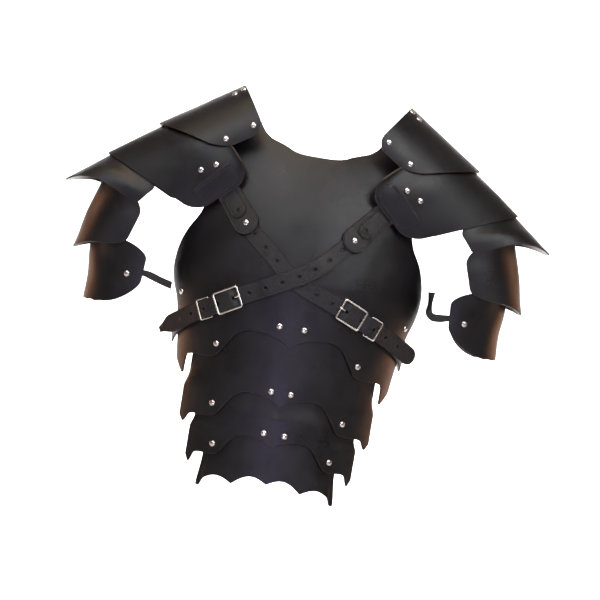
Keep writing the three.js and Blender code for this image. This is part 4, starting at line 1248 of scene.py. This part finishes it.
def arm_tie(label, side):
    """The narrow tie inside the lowest arm lame, from its rivet past the inner edge."""
    lame = LAMES["arm_lame_lower", label]
    inside = WALL / 2 + GAP + TIE_WALL / 2
    rows = []
    for around in TIE_ROUND:
        across = TIE_ACROSS + np.linspace(-0.5, 0.5, 7) * TIE_WIDTH / TIE_LAME_WIDTH
        rows.append(lame.point(around, across) - lame.normal(around, across) * inside)
    half = np.linspace(-0.5, 0.5, 7)[:, None] * TIE_WIDTH
    for inward, back, up, wide_in, wide_back, wide_up in TIES[label]:
        wide = half * np.array([-side * wide_in, wide_back, wide_up])
        rows.append(rows[2][3] + np.array([-side * inward, back, up]) + wide)
    grid = through_rows(rows, 90)
    grid = grid if side > 0 else grid[:, ::-1]
    wall_piece("arm_tie_leather_" + label, grid, TIE_WALL, STRAP, "strap_leather", ["arm_tie_" + label],
               round_edge=0.0005)


def waist_strap():
    """The strap inside the breastplate from flank to flank, round the back."""
    angle = np.radians(np.linspace(WAIST_FROM, WAIST_TO, 170))[:, None]
    across = np.linspace(0.5, -0.5, 9)[None, :] * STRAP_WIDTH
    grid = on_torso(angle, WAIST_DROP + across, -ON_PLATE - EDGE_RISE * 0.75)[0]
    wall_piece("waist_strap_leather", grid, STRAP_WALL, STRAP, "strap_leather", ["waist_strap"])


for label, side in SIDES.items():
    end_patch(label, side)
    arm_tie(label, side)
waist_strap()


# Camera, floor and light

def camera():
    """The photograph's view: level with the armour's middle, rolled against its tilt."""
    place = VIEW_AT + VIEW_DISTANCE * Vector((-math.sin(VIEW_YAW), -math.cos(VIEW_YAW), 0))
    ahead = (VIEW_AT - place).normalized()
    right = ahead.cross(Vector((0, 0, 1))).normalized()
    level = right.cross(ahead)
    up = level * math.cos(VIEW_ROLL) - right * math.sin(VIEW_ROLL)
    side = ahead.cross(up)
    lens = bpy.data.cameras.new("view")
    lens.sensor_width = SENSOR
    lens.lens = SENSOR * VIEW_DISTANCE / VIEW_WIDTH
    view = bpy.data.objects.new("view", lens)
    bpy.context.scene.collection.objects.link(view)
    turn = [[side[k], up[k], -ahead[k], place[k]] for k in range(3)] + [[0, 0, 0, 1]]
    view.matrix_world = Matrix(turn)
    bpy.context.scene.camera = view


def soft_light(name, place, aim, size, watts, colour, spread):
    """A rectangular area lamp that shines from its place towards its aim."""
    lamp = bpy.data.lights.new(name, "AREA")
    lamp.shape = "RECTANGLE"
    lamp.size, lamp.size_y = size
    lamp.energy = watts
    lamp.color = colour
    lamp.spread = math.radians(spread)
    light = bpy.data.objects.new(name, lamp)
    light.location = place
    light.rotation_euler = (Vector(aim) - Vector(place)).to_track_quat("-Z", "Y").to_euler()
    bpy.context.scene.collection.objects.link(light)


def backdrop():
    """A pale floor well below the armour that sweeps up behind it: a quarter circle between a
    level stretch and a wall."""
    turn = np.linspace(0, np.pi / 2, 25)
    away = WALL_AWAY - SWEEP_RADIUS * (1 - np.sin(turn))
    high = SWEEP_RADIUS * (1 - np.cos(turn)) - FLOOR_DROP
    y = np.concatenate([[-FLOOR_HALF], away, [WALL_AWAY]])
    z = np.concatenate([[-FLOOR_DROP], high, [WALL_TOP]])
    x = np.array([-FLOOR_HALF, FLOOR_HALF])
    grid = np.stack(np.broadcast_arrays(x[None, :], y[:, None], z[:, None]), -1)
    piece = mesh_object("pale_floor", grid.reshape(-1, 3), grid_faces(len(y), 2).reshape(-1, 4)[:, ::-1])
    material = bpy.data.materials.new("pale_floor")
    material.use_nodes = True
    shader = material.node_tree.nodes["Principled BSDF"]
    shader.inputs["Base Color"].default_value = (0.88, 0.88, 0.88, 1)
    shader.inputs["Roughness"].default_value = 0.9
    piece.data.materials.append(material)


def room():
    """A dim, slightly rosy room and plain colours."""
    world = bpy.data.worlds.new("studio")
    world.use_nodes = True
    world.node_tree.nodes["Background"].inputs["Color"].default_value = (1.0, 0.86, 0.82, 1)
    world.node_tree.nodes["Background"].inputs["Strength"].default_value = 0.2
    bpy.context.scene.world = world
    bpy.context.scene.view_settings.view_transform = "Standard"


camera()
backdrop()
room()
for name, values in LAMPS.items():
    soft_light(name, *values)
